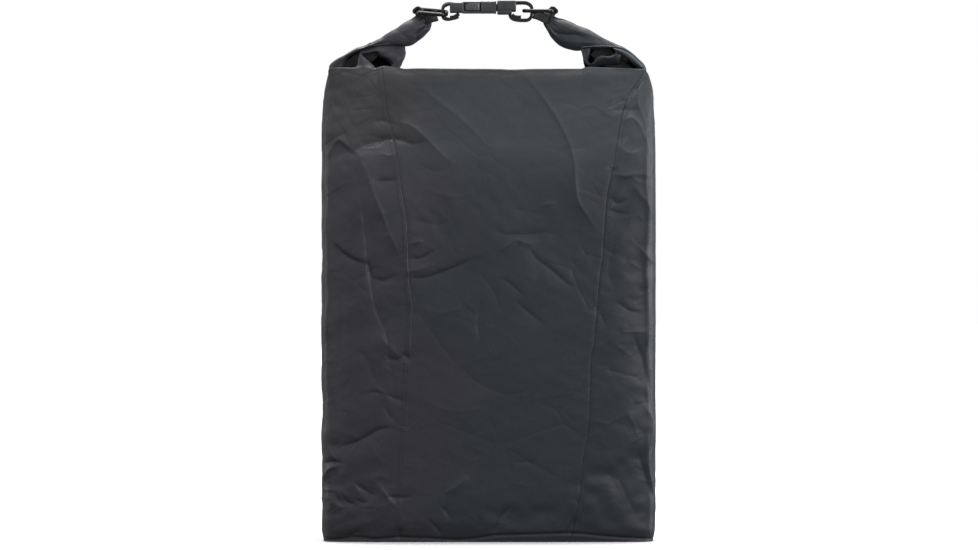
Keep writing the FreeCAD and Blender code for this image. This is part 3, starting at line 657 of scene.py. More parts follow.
# Section of the mouth from the front of the fold, over it and down into the roll behind: depth and height.
ROLL_SECTION = [(-5.6, -7.0), (-4.9, -2.6), (-3.2, -0.5), (-0.6, 0.2), (3.5, -0.6), (9.0, -3.2), (14.5, -7.0),
                (18.4, -13.0), (19.3, -22.0), (19.0, -32.0), (17.2, -38.4), (13.6, -40.0), (10.4, -37.6),
                (9.3, -30.0), (9.6, -18.0), (11.6, -11.6), (14.2, -11.0), (16.4, -15.0), (16.9, -24.0),
                (15.6, -34.0), (13.4, -35.6), (12.0, -31.0), (12.4, -20.0)]


def curve_through(points, count):
    """Evenly spaced points on a Catmull-Rom curve through a few points."""
    points = np.asarray(points, float)
    padded = np.concatenate([[2 * points[0] - points[1]], points, [2 * points[-1] - points[-2]]])
    places = np.linspace(0, len(points) - 1, 24 * len(points))
    base = np.minimum(places.astype(int), len(points) - 2)
    line = sum(w[:, None] * padded[base + k] for k, w in enumerate(cubic_weights(places - base)))
    run = run_along(line)
    even = np.linspace(0, run[-1], count)
    return np.stack([np.interp(even, run, line[:, axis]) for axis in range(line.shape[1])], axis=-1)


def patch(control, rows, cols):
    """Smooth surface through a grid of control points, as rows x cols x 3, from millimetres to metres."""
    across = np.array([curve_through(row, cols) for row in control])
    return np.stack([curve_through(across[:, col], rows) for col in range(cols)], axis=1) * MM


MOUTH_HALF = 149.6 * MM      # half the length of the roll
MOUTH_SHIFT = -1.0 * MM      # of the roll's middle from the bag's


def make_mouth():
    """Roll of the mouth behind the fold, one sheet from the front's top edge into the roll."""
    section = curve_through(ROLL_SECTION, 150) * MM
    reach = np.linspace(-1, 1, 300)
    x = reach * MOUTH_HALF + MOUTH_SHIFT
    crest = hermite(*FOLD_LINE, x / MM) * MM
    ends = smooth_step(0.9, 1.0, np.abs(reach))[None, :]
    width, _, _, power = (float(v) for v in form_at(FOLD))
    round_ends = (1 - np.clip(np.abs(x / width), 0, 0.995) ** power) ** (1 / power)
    inwards, up = section[:, 0:1], section[:, 1:2]
    y = np.where(inwards < 0, inwards * round_ends * 0.9, inwards * (1 - 0.25 * ends))
    z = up * (1 - 0.3 * ends) + crest
    points = np.stack([np.broadcast_to(x, y.shape), y, z], axis=-1)
    behind = smooth_step(4 * MM, 16 * MM, y)
    normal = -grid_normals(points, closed=False)
    soft = ripple(points * np.array([1, 1, 0.35]), 46 * MM, 0.9 * MM, 3)
    soft += ripple(points, 15 * MM, 0.25 * MM, 4)
    piece = grid_object("rolled_mouth_cloth", points + normal * (soft * behind)[..., None])
    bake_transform(piece)
    return settle(piece, stands_for=["rolled_collar"])


# ---- turned-up roll ends ----

# Each section of a roll end: upper edge across and up, lower edge across and up, half its thickness.
LEFT_ROLL = [(-151.2, 434, -138.5, 433, 4.6), (-150.6, 441.4, -137.5, 439.5, 4.8),
             (-149.9, 446.2, -136, 445.5, 4.8), (-146.8, 449.8, -132.5, 452.8, 5.2),
             (-138, 455.2, -126.5, 457.6, 5.6), (-126, 461.8, -118, 461.2, 6.0),
             (-112, 468.4, -108, 462.4, 6.2), (-102.3, 472.8, -96.5, 463.8, 6.6),
             (-93.6, 477.8, -85.5, 464.9, 7.2), (-85, 482.3, -77.0, 464.2, 7.8),
             (-79.6, 486, -70.0, 466.6, 8.6), (-73.1, 489.8, -61.2, 474.2, 9.2),
             (-67.6, 493.6, -54.8, 481.4, 9.0), (-65.2, 495.6, -52.8, 487.4, 8.2)]
RIGHT_ROLL = [(148.6, 434, 138, 433, 4.6), (148.5, 440.6, 139, 439, 4.8), (147.9, 444.6, 141, 444.6, 4.8),
              (145.3, 449, 139.5, 449.6, 4.8), (140, 455, 134.5, 454, 5.0), (134.6, 460, 128.5, 458, 5.2),
              (125.1, 465, 120, 461, 5.6), (114, 470, 108.5, 461.4, 6.2), (102.9, 475.4, 96, 461.2, 6.8),
              (91.8, 480.4, 83.5, 460.6, 7.4), (84.1, 483.8, 72.5, 463, 8.2), (77.2, 487.6, 64, 467.3, 8.8),
              (71.6, 489.8, 58.3, 473.2, 9.2), (66, 490.8, 54.4, 480, 9.2), (60, 493, 51.4, 485.6, 8.4)]

# Creases of the roll ends, given as those of the front are.
LEFT_ROLL_CREASES = [
    ([(-120, 458), (-110, 463.5), (-100, 466.5), (-90, 467.5)], -2.6, 5, 3),
    ([(-98, 474), (-88, 476), (-76, 480), (-68, 486)], 0.8, 6, 8),
    ([(-52, 484.5), (-60, 482.2), (-66, 476), (-67.5, 471), (-74, 467)], -2.4, 2.6, 2.2),
    ([(-54, 481.5), (-60, 479.5), (-64, 474), (-66, 469)], 1.5, 2.2, 3),
    ([(-53, 486.6), (-58, 486), (-64, 484.5)], -1.5, 1.4, 1.8),
    ([(-52, 483.6), (-58, 484), (-66, 481)], 1.0, 1.6, 1.6),
    ([(-86, 479), (-79, 474), (-74, 470)], -0.7, 4, 5),
]
RIGHT_ROLL_CREASES = [
    ([(60, 478), (66, 476.2), (74, 475.2), (82, 475.4), (91, 472)], -2.0, 3, 6),
    ([(64, 486), (76, 481), (90, 476), (108, 470)], 1.2, 6, 6),
    ([(64, 470), (76, 469), (92, 468), (112, 467)], 1.0, 5, 6),
    ([(57, 491), (60, 486), (64, 482)], -1.1, 2, 3),
    ([(54, 486), (58, 480), (64, 474)], 0.9, 3, 3),
    ([(106, 472), (118, 466), (130, 461)], -0.8, 3, 4),
]
ROLL_LEAN = 0.5 * MM         # how far a roll end's upper edge leans back from its middle


def roll_sections(sections, rows, cols):
    """Flattened tube through the sections of a roll end, running round from its upper edge to the front."""
    along = curve_through(sections, rows) * MM
    angle = np.linspace(0, 2 * math.pi, cols)
    c, s = np.cos(angle), np.sin(angle)
    upper, lower = along[:, 0:2], along[:, 2:4]
    middle, arm = (upper + lower) / 2, (upper - lower) / 2
    flat = np.sign(c) * np.abs(c) ** 0.9
    deep = np.sign(s) * np.abs(s) ** 0.95
    x = middle[:, 0:1] + arm[:, 0:1] * flat
    z = middle[:, 1:2] + arm[:, 1:2] * flat
    y = ROLL_MIDDLE - along[:, 4:5] * deep + ROLL_LEAN * flat
    return np.stack([x, y, z], axis=-1), angle


def bend_with(piece):
    """Bake the placement of a piece of a roll end into its mesh."""
    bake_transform(piece)
    return piece


def make_roll_end(side, sections, creases):
    """Outer layer of one turned-up roll end, gathered at its cuff."""
    points, angle = roll_sections(sections, 150, 150)
    normal = grid_normals(points, closed=False) * (1 if side == "left" else -1)
    outward = np.sign(np.sum(normal * (points - points.mean(axis=1, keepdims=True)), axis=-1, keepdims=True))
    normal = normal * outward
    share = np.linspace(0, 1, len(points))[:, None]
    cuff = smooth_step(0.76, 1.0, share)
    pleats = np.sin(13 * angle + 5 * share) * (0.4 + 0.6 * np.sin(3 * angle + 1)) * cuff * 0.95 * MM
    x, z = points[..., 0], points[..., 2]
    flat = np.stack([x, points[..., 1] - ROLL_MIDDLE, z], axis=-1)
    height = crease_heights(flat, creases, 1.3) + pleats
    height = height + ripple(points, 26 * MM, 0.5 * MM, 11) + ripple(points, 9 * MM, 0.14 * MM, 12)
    piece = bend_with(grid_object(f"{side}_roll_cloth", points + normal * height[..., None]))
    return settle(piece, stands_for=[f"{side}_roll_end"])


# Second layer under the left roll end: lip of the hollow, bulge, silhouette and back.
LEFT_INNER = [
    [(-121, 11, 456.0), (-121, 8.6, 457.8), (-121, 10, 459.4),
     (-121, 14, 461), (-122, 19, 458), (-128, 21, 448)],
    [(-112, 12, 457.4), (-112, 8.8, 459.2), (-111, 10, 460.8),
     (-110, 14, 464.0), (-112, 20, 458), (-118, 22, 444)],
    [(-105, 12, 458.0), (-104, 8.4, 459.8), (-101, 9.4, 462.2),
     (-97, 14, 467.0), (-100, 20, 458), (-106, 22, 441)],
    [(-102, 11, 454.0), (-99, 7.4, 455.8), (-91, 7.8, 459.8),
     (-80.6, 13.5, 467.0), (-86, 19.5, 460), (-96, 22, 440)],
    [(-96, 10, 451.6), (-93, 5.8, 453.2), (-86, 5.0, 456.0),
     (-78.0, 11, 459.6), (-82, 19, 455), (-90, 22, 439)],
    [(-92, 9, 447.0), (-89.6, 4.2, 448.6), (-85, 3.2, 450.6),
     (-78.6, 9.8, 453.4), (-82, 19, 449), (-88, 22, 438)],
    [(-94, 9, 443.0), (-91.4, 3.8, 444.2), (-87, 3.0, 444.8),
     (-82.6, 9.5, 446.6), (-84, 19, 444), (-88, 22, 437)],
    [(-96, 9, 437.0), (-93, 4.4, 437.0), (-89, 4.0, 437.0),
     (-86.0, 9.5, 437.0), (-86, 19, 437), (-88, 22, 434)],
]

# Curled end under the right roll end, from the left wall down round its bottom and along the next layer.
RIGHT_INNER = [
    [(96.0, 7, 464), (95.6, 3, 463), (90.0, 4, 462), (86.0, 10, 463), (87.0, 18, 463)],
    [(95.6, 7, 457), (94.4, 3, 456.6), (91.6, 2.8, 456.8), (88.0, 9, 457.4), (89.0, 18, 458)],
    [(94.0, 7, 451.6), (92.8, 3, 451.2), (91.2, 3, 451.4), (89.4, 9, 452.8), (90.0, 18, 454)],
    [(95.6, 7, 448.4), (95.0, 3, 447.4), (93.8, 3, 447.4), (92.4, 9, 448.0), (93.0, 18, 450)],
    [(98.4, 7, 450.0), (98.8, 3, 449.0), (98.6, 3, 447.2), (97.2, 9, 444.6), (98.0, 18, 447)],
    [(100.6, 7, 453.4), (101.6, 3, 452.4), (102.4, 3.4, 450.2), (102.0, 9, 446.0), (103.0, 18, 446)],
    [(106.0, 7, 455.6), (106.6, 3, 454.6), (107.6, 3.8, 452.0), (108.0, 10, 447.0), (110.0, 19, 446)],
    [(113.6, 7, 455.4), (114.0, 3, 454.2), (115.0, 4.2, 451.6), (116.0, 10, 447.6), (118.0, 20, 446)],
    [(119.0, 7, 458.4), (120.0, 3.4, 457.0), (121.6, 5.0, 453.6), (123.0, 11, 449.0), (126.0, 21, 446)],
    [(117.6, 8, 463), (119.4, 5, 463), (124.0, 7, 460), (128.0, 13, 456), (134.0, 21, 448)],
]

# Flap below the hem near the right corner, from the hem down to its free edge.
RIGHT_FLAP = [
    [(116, 4.0, 463.4), (118, 2.0, 461.8), (119.4, 2.4, 460.0), (119.6, 6, 458.6)],
    [(124, 3.6, 462.2), (125.4, 1.0, 459.8), (126.4, 1.2, 457.0), (126.4, 5, 455.4)],
    [(130.6, 3.8, 459.2), (131.4, 1.0, 456.6), (131.8, 1.2, 453.4), (131.6, 5, 451.6)],
    [(136, 4.2, 455.6), (136.6, 1.2, 452.8), (136.8, 1.4, 449.4), (136.4, 5, 447.6)],
    [(140.6, 5, 451.6), (141.2, 2.2, 449.0), (141.4, 2.4, 446.2), (141.0, 6, 444.4)],
    [(144.8, 6.4, 447.0), (145.0, 4.4, 445.2), (145.0, 4.8, 443.4), (144.4, 8, 441.6)],
]

# Peak of cloth standing in front of the left hollow.
LEFT_PEAK = [
    [(-131.5, 1.0, 441.5), (-125, -3.4, 441.5), (-116, -4.6, 441.2),
     (-108, -3.8, 441.2), (-101.5, 0.0, 441.0)],
    [(-128.2, 1.6, 443.8), (-124, -1.8, 443.8), (-117, -3.2, 443.8),
     (-110, -2.2, 443.8), (-105.4, 0.8, 443.8)],
    [(-123.8, 2.4, 446.4), (-121.6, 0.2, 446.8), (-117.6, -1.2, 447.0),
     (-113, 0.0, 447.0), (-109.4, 2.0, 447.2)],
    [(-122.6, 2.8, 450.4), (-121.0, 1.2, 450.6), (-118.6, 0.2, 450.8),
     (-115.8, 1.2, 450.8), (-113.4, 2.8, 450.8)],
    [(-122.0, 3.2, 454.2), (-121.0, 2.4, 454.4), (-119.8, 1.8, 454.4),
     (-118.4, 2.4, 454.2), (-117.0, 3.4, 454.0)],
    [(-121.0, 3.8, 458.0), (-120.8, 3.6, 458.1), (-120.6, 3.5, 458.1),
     (-120.4, 3.6, 458.0), (-120.2, 3.8, 457.9)],
]

# Inner faces behind the hollows of the roll ends, painted near-black as painted shade, and the layers that
# close these from behind.
LEFT_LINING = [
    [(-141, 14, 437), (-139, 17.5, 446), (-132, 18.0, 455), (-122, 17, 461)],
    [(-128, 17, 436), (-127, 18.6, 444), (-121, 18.8, 453), (-112, 16, 463)],
    [(-112, 18, 436), (-110, 18.8, 444), (-106, 18.8, 453), (-100, 16, 463)],
    [(-98, 18, 436), (-95, 18.6, 444), (-91, 18.4, 453), (-86, 15, 462)],
    [(-89, 17, 436), (-86, 17.0, 444), (-83, 15.5, 453), (-81, 12, 461)],
]
RIGHT_LINING = [
    [(140, 14, 437), (139, 17.0, 445), (134, 17.5, 453), (128, 15, 459)],
    [(128, 17, 436), (127, 18.4, 444), (124, 18.4, 453), (120, 15, 462)],
    [(114, 18, 436), (113, 18.6, 444), (112, 18.6, 453), (110, 15, 462)],
    [(102, 18, 436), (101, 18.6, 444), (100, 18.4, 453), (99, 14, 462)],
    [(93, 16, 440), (92, 16.4, 446), (91, 16.4, 453), (91, 13, 461)],
]
RIGHT_BACK = [
    [(146, 14, 436), (146, 19, 443), (141, 20.5, 450), (134, 18, 459)],
    [(132, 19, 434), (132, 22, 442), (128, 22, 452), (122, 17, 464)],
    [(116, 20, 434), (116, 22.6, 442), (114, 22, 452), (110, 17, 466)],
    [(100, 20, 434), (100, 22.4, 442), (99, 21.6, 452), (97, 17, 465)],
    [(92, 17, 440), (90, 19.4, 447), (89, 19, 454), (89, 16, 463)],
]
LEFT_BACK = [[(2 - x, y + 1.6, z) for x, y, z in row] for row in RIGHT_BACK]


def loose_piece(name, control, size, wave=0.35):
    """One loose layer of the roll end that its name starts with, with soft ripples."""
    points = patch(control, *size)
    normal = grid_normals(points, closed=False)
    points = points + normal * ripple(points, 12 * MM, wave * MM, len(name))[..., None]
    piece = bend_with(grid_object(name, points))
    return settle(piece)


def make_bead(name, line, radius, sides=8):
    """Round bead along a line of points in millimetres, thinned at both ends."""
    path = curve_through(line, 12 * len(line)) * MM
    tangent = unit(np.gradient(path, axis=0))
    side = unit(np.cross(tangent, np.array([0, 1.0, 0.13])))
    other = np.cross(side, tangent)
    angle = np.linspace(0, 2 * math.pi, sides, endpoint=False)
    ends = np.sin(np.pi * np.clip(np.linspace(0.004, 0.996, len(path)) * 12, 0, 0.5))
    ends *= np.sin(np.pi * np.clip(np.linspace(0.996, 0.004, len(path)) * 12, 0, 0.5))
    ring = side[:, None] * np.cos(angle)[:, None] + other[:, None] * np.sin(angle)[:, None]
    return grid_object(name, path[:, None] + ring * (radius * ends)[:, None, None], closed=True)


# Hem of the right roll end, from the curl to the corner: across, depth and up.
HEM_LINE = [(86.5, 5.0, 462.4), (90, 3.4, 463.5), (103, 2.8, 464.3), (114, 3.0, 464.0), (125, 3.6, 462.6),
            (130.6, 4.2, 459.9), (135.1, 4.6, 456.5), (139.6, 5.2, 453.0), (145, 6.8, 446.8)]


def make_roll_ends():
    """Both turned-up roll ends: cloth, a hem and flap that get a painted highlight, and linings that get
    painted shade.
    """
    cloth = [make_roll_end("left", LEFT_ROLL, LEFT_ROLL_CREASES),
             make_roll_end("right", RIGHT_ROLL, RIGHT_ROLL_CREASES),
             loose_piece("left_roll_inner_layer", LEFT_INNER, (90, 90)),
             loose_piece("right_roll_curl", RIGHT_INNER, (110, 70), 0.2)]
    flap = loose_piece("right_roll_flap", RIGHT_FLAP, (70, 40), 0.15)
    cloth += [loose_piece("right_roll_back_layer", RIGHT_BACK, (70, 50)),
              loose_piece("left_roll_back_layer", LEFT_BACK, (70, 50))]
    lining = [loose_piece("left_roll_lining", LEFT_LINING, (40, 40), 0.1),
              loose_piece("right_roll_lining", RIGHT_LINING, (40, 40), 0.1)]
    hem = settle(bend_with(make_bead("right_roll_hem", HEM_LINE, 0.65 * MM)))
    cloth.append(settle(grid_object("left_fold_peak", patch(LEFT_PEAK, 60, 60)), "collar"))
    return cloth, [hem, flap], lining


# ---- webbing ----

WEB = 2.2 * MM               # thickness of the tabs' webbing
THICK_WEB = 2.7 * MM         # the doubled webbing of the buckle's loops
STRAP_TWIST = 0.14           # slope of the socket's loop where it follows its tilted ring


def webbing_section(width, thickness):
    """Outline of webbing cut across: flat faces with rounded edges."""
    half_width, half = width / 2, thickness / 2
    bevel = 0.35 * half
    face = [(side * (half_width - bevel), half) for side in np.linspace(-1, 1, 15)]
    rounded = half_width - bevel * 0.3
    edge = [(rounded, half * 0.75), (half_width, 0), (rounded, -half * 0.75)]
    one_side = np.array(face + edge)
    return np.concatenate([one_side, -one_side])


def make_webbing(name, line, turns, width, node, body, thickness=WEB):
    """Webbing along a line in millimetres; turns are the directions of its width at the line's points."""
    path = curve_through(line, 22 * len(line)) * MM
    across = unit(curve_through(turns, len(path)))
    tangent = unit(np.gradient(path, axis=0))
    across = unit(across - tangent * np.sum(across * tangent, axis=1, keepdims=True))
    outward = np.cross(tangent, across)
    section = webbing_section(width, thickness)
    wide, thick = section[None, :, 0:1], section[None, :, 1:2]
    points = path[:, None] + across[:, None] * wide + outward[:, None] * thick
    return settle(capped_tube(name, points), body, [node] if node else [])


# Lines of the webbing as seen from the front, across and up; those of the tabs' ends have a depth as well.
SOCKET_STRAP = [(-28.4, 492.8), (-31.0, 491.4), (-34.6, 490.4), (-38.4, 490.1), (-41.6, 491.2),
                (-43.0, 494.0), (-43.1, 498.4), (-42.4, 501.6), (-40.4, 503.6), (-37.0, 504.6),
                (-32.8, 504.4), (-31.4, 501.4), (-32.2, 498.4), (-34.4, 497.4)]
SOCKET_LAP = [(-27.6, 495.0), (-30.4, 493.6), (-33.4, 492.2), (-36.2, 491.6)]
PLUG_STRAP = [(40.7, 495.2), (39.8, 491.6), (37.0, 489.4), (32.6, 489.0), (28.2, 489.2), (23.8, 490.1),
              (20.8, 492.4), (19.9, 496.4), (20.3, 500.6), (21.6, 504.0), (24.4, 505.2), (29.6, 505.5),
              (35.8, 505.2), (39.9, 502.6), (41.1, 498.8), (40.8, 495.8)]
PLUG_LAP = [(22.4, 494.4), (24.2, 492.6), (27.4, 491.9), (30.6, 492.0)]
LEFT_TAB = [(-60.2, 489.0), (-62.6, 492.0), (-66.0, 495.05), (-68.6, 495.9), (-69.5, 498.0), (-68.4, 500.3),
            (-66.0, 500.95), (-63.9, 499.5), (-63.6, 497.2), (-62.0, 494.2), (-59.0, 491.0), (-57.8, 488.4)]
RIGHT_TAB = [(-x - 6, z) for x, z in LEFT_TAB]
LEFT_TAIL = [(-61.0, 8.0, 488.4), (-57.4, 4.6, 490.8), (-52.6, 3.9, 492.4), (-49.8, 5.2, 493.0),
             (-49.2, 8.0, 493.0), (-51.0, 10.6, 492.6), (-55.6, 11.4, 491.4), (-60.4, 11.6, 489.4)]
RIGHT_TAIL = [(57.6, 8.0, 487.6), (53.6, 4.6, 490.6), (48.6, 3.9, 492.6), (44.6, 4.6, 494.2),
              (43.2, 7.2, 494.6), (44.8, 10.2, 494.2), (49.0, 11.2, 492.8), (55.6, 11.6, 489.6)]
STRAP_WIDTH = 25 * MM
TAB_WIDTH = 19 * MM


def make_straps():
    """Webbing loops that join the buckle to the rings, and tabs that join the rings to the roll ends."""
    middle = ROLL_MIDDLE / MM
    pieces = []
    for name, line, node, body in (("socket_strap_webbing", SOCKET_STRAP, "socket_strap", "socket_half"),
                                   ("plug_strap_webbing", PLUG_STRAP, "plug_strap", "plug_half"),
                                   ("socket_strap_lap", SOCKET_LAP, None, "socket_half"),
                                   ("plug_strap_lap", PLUG_LAP, None, "plug_half")):
        path = [(x, middle, z) for x, z in line]
        turns = [(0, 1, STRAP_TWIST * float(smooth_step(-34, -38, x))) for x, _ in line]
        pieces.append(make_webbing(name, path, turns, STRAP_WIDTH, node, body, THICK_WEB))
    for side, line, way in (("left", LEFT_TAB, 1), ("right", RIGHT_TAB, -1)):
        path = [(x, middle, z) for x, z in line]
        lean = (0.75 * way, 0.6, -0.45)
        turns = [lean, lean] + [(0, 1, 0)] * (len(path) - 4) + [lean, lean]
        pieces.append(make_webbing(f"{side}_tab_webbing", path, turns, TAB_WIDTH,
                                   f"{side}_tab", f"{side}_roll"))
    tails = (("left", LEFT_TAIL, (-0.72, 0.0, 0.70), 10.5), ("right", RIGHT_TAIL, (0.62, 0.0, 0.78), 9))
    for side, line, lean, width in tails:
        upright = (0.1 * lean[0], 0.55, 0.83)
        between = np.add(lean, upright)
        turns = [lean, lean, between, upright, upright, upright, between, lean]
        pieces.append(make_webbing(f"{side}_tab_end_webbing", line, turns, width * MM, None, f"{side}_roll"))
    return pieces


# ---- buckle ----

BUCKLE_UP = 501.0            # height of the buckle's middle, in millimetres
BUCKLE_ACROSS = 14.0         # depth of the buckle's middle, in millimetres


def rounded_block(build, limits, radius):
    """Add a block with rounded edges to a bmesh, between its x, y and z limits in millimetres."""
    made = bmesh.ops.create_cube(build, size=1.0)["verts"]
    for vert in made:
        vert.co = Vector([(low + high) / 2 + at * (high - low) for at, (low, high) in zip(vert.co, limits)])
    edges = list({edge for vert in made for edge in vert.link_edges})
    bmesh.ops.bevel(build, geom=edges, offset=radius, segments=3, profile=0.6, affect="EDGES")


def block_object(name, blocks, node, body):
    """Join rounded blocks, each given as x, y and z limits and a radius, into one moulded piece."""
    build = bmesh.new()
    for *limits, radius in blocks:
        rounded_block(build, limits, radius)
    bmesh.ops.scale(build, vec=(MM, MM, MM), verts=build.verts)
    mesh = bpy.data.meshes.new(name)
    build.to_mesh(mesh)
    build.free()
    mesh.polygons.foreach_set("use_smooth", [True] * len(mesh.polygons))
    return settle(link_object(name, mesh), body, [node])


def both_sides(x_range, inner, outer, z_range, radius):
    """The same block on the front and on the back of the buckle."""
    return [(x_range, (BUCKLE_ACROSS - outer, BUCKLE_ACROSS - inner), z_range, radius),
            (x_range, (BUCKLE_ACROSS + inner, BUCKLE_ACROSS + outer), z_range, radius)]


def make_socket():
    """Socket half: slotted end with its webbing bar, a waist with two side windows, and a ribbed mouth."""
    low, high = 495.8, 506.3     # of its body, in millimetres
    blocks = both_sides((-36.4, -23.6), 12.6, 16.5, (low + 0.6, high - 1.2), 0.9)
    blocks += both_sides((-34.9, -25.4), 12.9, 16.7, (low + 3.2, high - 3.4), 0.5)
    blocks.append(((-36.4, -33.2), (1, 27), (498.4, 503.6), 1.0))
    blocks.append(((-26.2, -23.2), (-1.6, 29.6), (low + 0.4, high - 1.0), 0.8))
    blocks.append(((-24.4, -5.4), (0.4, 27.6), (504.5, high - 0.2), 0.6))
    blocks.append(((-24.4, -5.4), (0.4, 27.6), (low, 497.4), 0.6))
    blocks += both_sides((-24.0, -6.0), 12.0, 15.2, (low, 497.2), 0.5)
    blocks += both_sides((-24.0, -6.0), 12.4, 14.6, (504.7, high - 0.3), 0.4)
    blocks.append(((-7.0, 7.4), (-2.0, 30.0), (504.4, high), 0.8))
    blocks.append(((-7.0, 7.4), (-2.0, 30.0), (low, 497.6), 0.8))
    blocks += both_sides((-7.0, 7.4), 13.5, 16.5, (low + 0.2, high - 0.2), 0.9)
    blocks += both_sides((5.6, 7.4), 13.5, 16.8, (low - 0.1, high + 0.1), 0.5)
    blocks += both_sides((-7.0, -5.6), 13.5, 16.8, (low - 0.1, high + 0.1), 0.5)
    blocks += [((-4.4 + 2.2 * rib, -3.4 + 2.2 * rib), (3.0, 25.0), (high - 0.6, high + 0.25), 0.2)
               for rib in range(4)]
    return block_object("buckle_socket_body", blocks, "buckle_socket", "socket_half")


def make_plug():
    """Plug half: slotted base with its webbing bar, and the centre guide."""
    low, high = 494.8, 507.25    # of its base, in millimetres
    blocks = both_sides((8.2, 26.0), 12.6, 16.5, (low + 2.6, high), 1.5)
    blocks += both_sides((8.3, 22.0), 12.4, 16.2, (low, low + 3.4), 0.9)
    blocks.append(((8.2, 17.2), (-1.0, 29.0), (low + 2.4, high - 0.2), 1.2))
    blocks.append(((22.8, 26.0), (1, 27), (498.4, 503.6), 1.0))
    blocks.append(((-14.0, 9.0), (11.6, 16.4), (499.6, 502.4), 0.7))
    blocks += both_sides((9.4, 10.4), 12.0, 16.7, (low + 3.2, high - 0.8), 0.3)
    return block_object("buckle_plug_body", blocks, "buckle_plug", "plug_half")


# Half outline of a latch arm: distance along the buckle and distance out from its middle.
LATCH_SIDE = [(8.6, 7.4), (8.6, 10.6), (2.0, 11.4), (-4.0, 12.4), (-6.8, 13.4), (-8.4, 15.6), (-11.0, 16.4),
              (-16.0, 16.2), (-20.4, 15.0), (-23.0, 12.8), (-22.0, 11.0), (-17.0, 10.0), (-8.0, 9.0),
              (0.0, 7.8)]

# Height and relative width of a latch arm from its lower edge to its upper one.
LATCH_RINGS = ((-3.3, 0.9), (-3.2, 0.97), (-2.7, 1.0), (0, 1.0), (2.7, 1.0), (3.2, 0.97), (3.3, 0.9))


def make_latch(name, sign, body):
    """Springy arm of the plug, with the rounded face that the fingers press."""
    outline = np.array(LATCH_SIDE + [LATCH_SIDE[0]], float)
    rounded = curve_through(outline, 90)[:-1]
    middle = rounded.mean(axis=0)
    rows = []
    for height, inset in LATCH_RINGS:
        x, out = (middle + (rounded - middle) * inset).T
        rows.append(np.stack([x, BUCKLE_ACROSS + sign * out, np.full(len(x), BUCKLE_UP + height)], -1))
    points = np.array(rows) * MM
    x = points[..., 0]
    face = smooth_step(-6.5 * MM, -10 * MM, x) * smooth_step(-22 * MM, -18 * MM, x)
    points[..., 1] += sign * face * (0.25 * np.sin(x / (0.28 * MM))) * MM
    return settle(capped_tube(f"{name}_arm", points), body, [name])


# ---- seams inside and stitching ----

TAPE_HALF = 10.0 * MM        # half the width of a seam tape
TAPE_INSET = 0.9 * MM        # of a tape from the outside of the cloth
STITCH_PITCH = 3.0 * MM

# Places along a stitch as parts of its pitch, with the height and radius of the thread there in millimetres.
STITCH = ((-0.33, -0.10, 0.10), (-0.17, 0.10, 0.19), (0.17, 0.10, 0.19), (0.33, -0.10, 0.10))


def inner_strip(skin, rows, cols):
    """Part of the skin moved inwards to where its tape lies."""
    inner = skin - grid_normals(skin) * TAPE_INSET
    return inner[np.ix_(rows, np.asarray(cols) % skin.shape[1])]


def rows_between(skin, low, high):
    """Rows of the skin between two heights in millimetres."""
    tops = skin[:, :, 2].max(axis=1)
    return np.where((tops > low * MM) & (tops < high * MM))[0]


def seam_column(sector, index):
    """Column at which a panel starts."""
    return int(np.where(sector[0] == index)[0][0])


def make_tapes(skin, sector):
    """Seam tapes on the inside of the four upright seams and round the base."""
    count = skin.shape[1]
    middle_row = skin[len(skin) // 2]
    pieces = []
    for index, seam_name in enumerate(SEAMS):
        seam = seam_column(sector, index)
        cols = [seam]
        for way in (-1, 1):
            col, run = seam, 0.0
            while run < TAPE_HALF:
                run += np.linalg.norm(middle_row[(col + way) % count] - middle_row[col % count])
                col += way
                cols.append(col)
        points = inner_strip(skin, rows_between(skin, 11, 438), sorted(set(cols)))
        pieces.append((f"{seam_name}_seam_tape", points))
    pieces.append(("base_seam_tape", inner_strip(skin, rows_between(skin, 1.5, 12), range(count + 1))))
    return [settle(grid_object(f"{node}_film", points), "bag", [node])
            for node, points in pieces]


def make_stitches(name, path, normals, body):
    """Row of small thread stitches lying on the cloth along a path in metres."""
    run = run_along(path)

    def at(place, line):
        return np.array([np.interp(place, run, line[:, axis]) for axis in range(3)])

    sides = 6
    angles = np.linspace(0, 2 * math.pi, sides, endpoint=False)
    tube = grid_faces(len(STITCH), sides, closed=True)
    points, faces = [], []
    for centre in np.arange(STITCH_PITCH, run[-1] - STITCH_PITCH, STITCH_PITCH):
        places = [at(centre + shift * STITCH_PITCH, path) for shift, _, _ in STITCH]
        normal = unit(at(centre, normals))
        across = np.cross(normal, unit(places[-1] - places[0]))
        first = len(points)
        for place, (_, lift, half) in zip(places, STITCH):
            for angle in angles:
                points.append(place + normal * (lift + half * math.sin(angle)) * MM
                              + across * half * math.cos(angle) * MM)
        faces += [tuple(first + corner for corner in face) for face in tube]
        last = first + (len(STITCH) - 1) * sides
        faces += [tuple(range(first, first + sides))[::-1], tuple(range(last, last + sides))]
    return settle(make_object(name, points, faces), body)


def make_seam_stitching(skin, sector):
    """Two rows of stitches down each upright seam, on the felled edge beside it."""
    normals = grid_normals(skin)
    inside = slice(6, len(skin) - 3)
    pieces = []
    for index, seam_name in enumerate(SEAMS):
        way = 1 if index % 2 else -1
        for row, steps in (("inner", 2), ("outer", 3)):
            col = (seam_column(sector, index) + way * steps) % skin.shape[1]
            pieces.append(make_stitches(f"{seam_name}_seam_{row}_stitches", skin[inside, col],
                                        normals[inside, col], "bag"))
    return pieces


# ---- materials ----

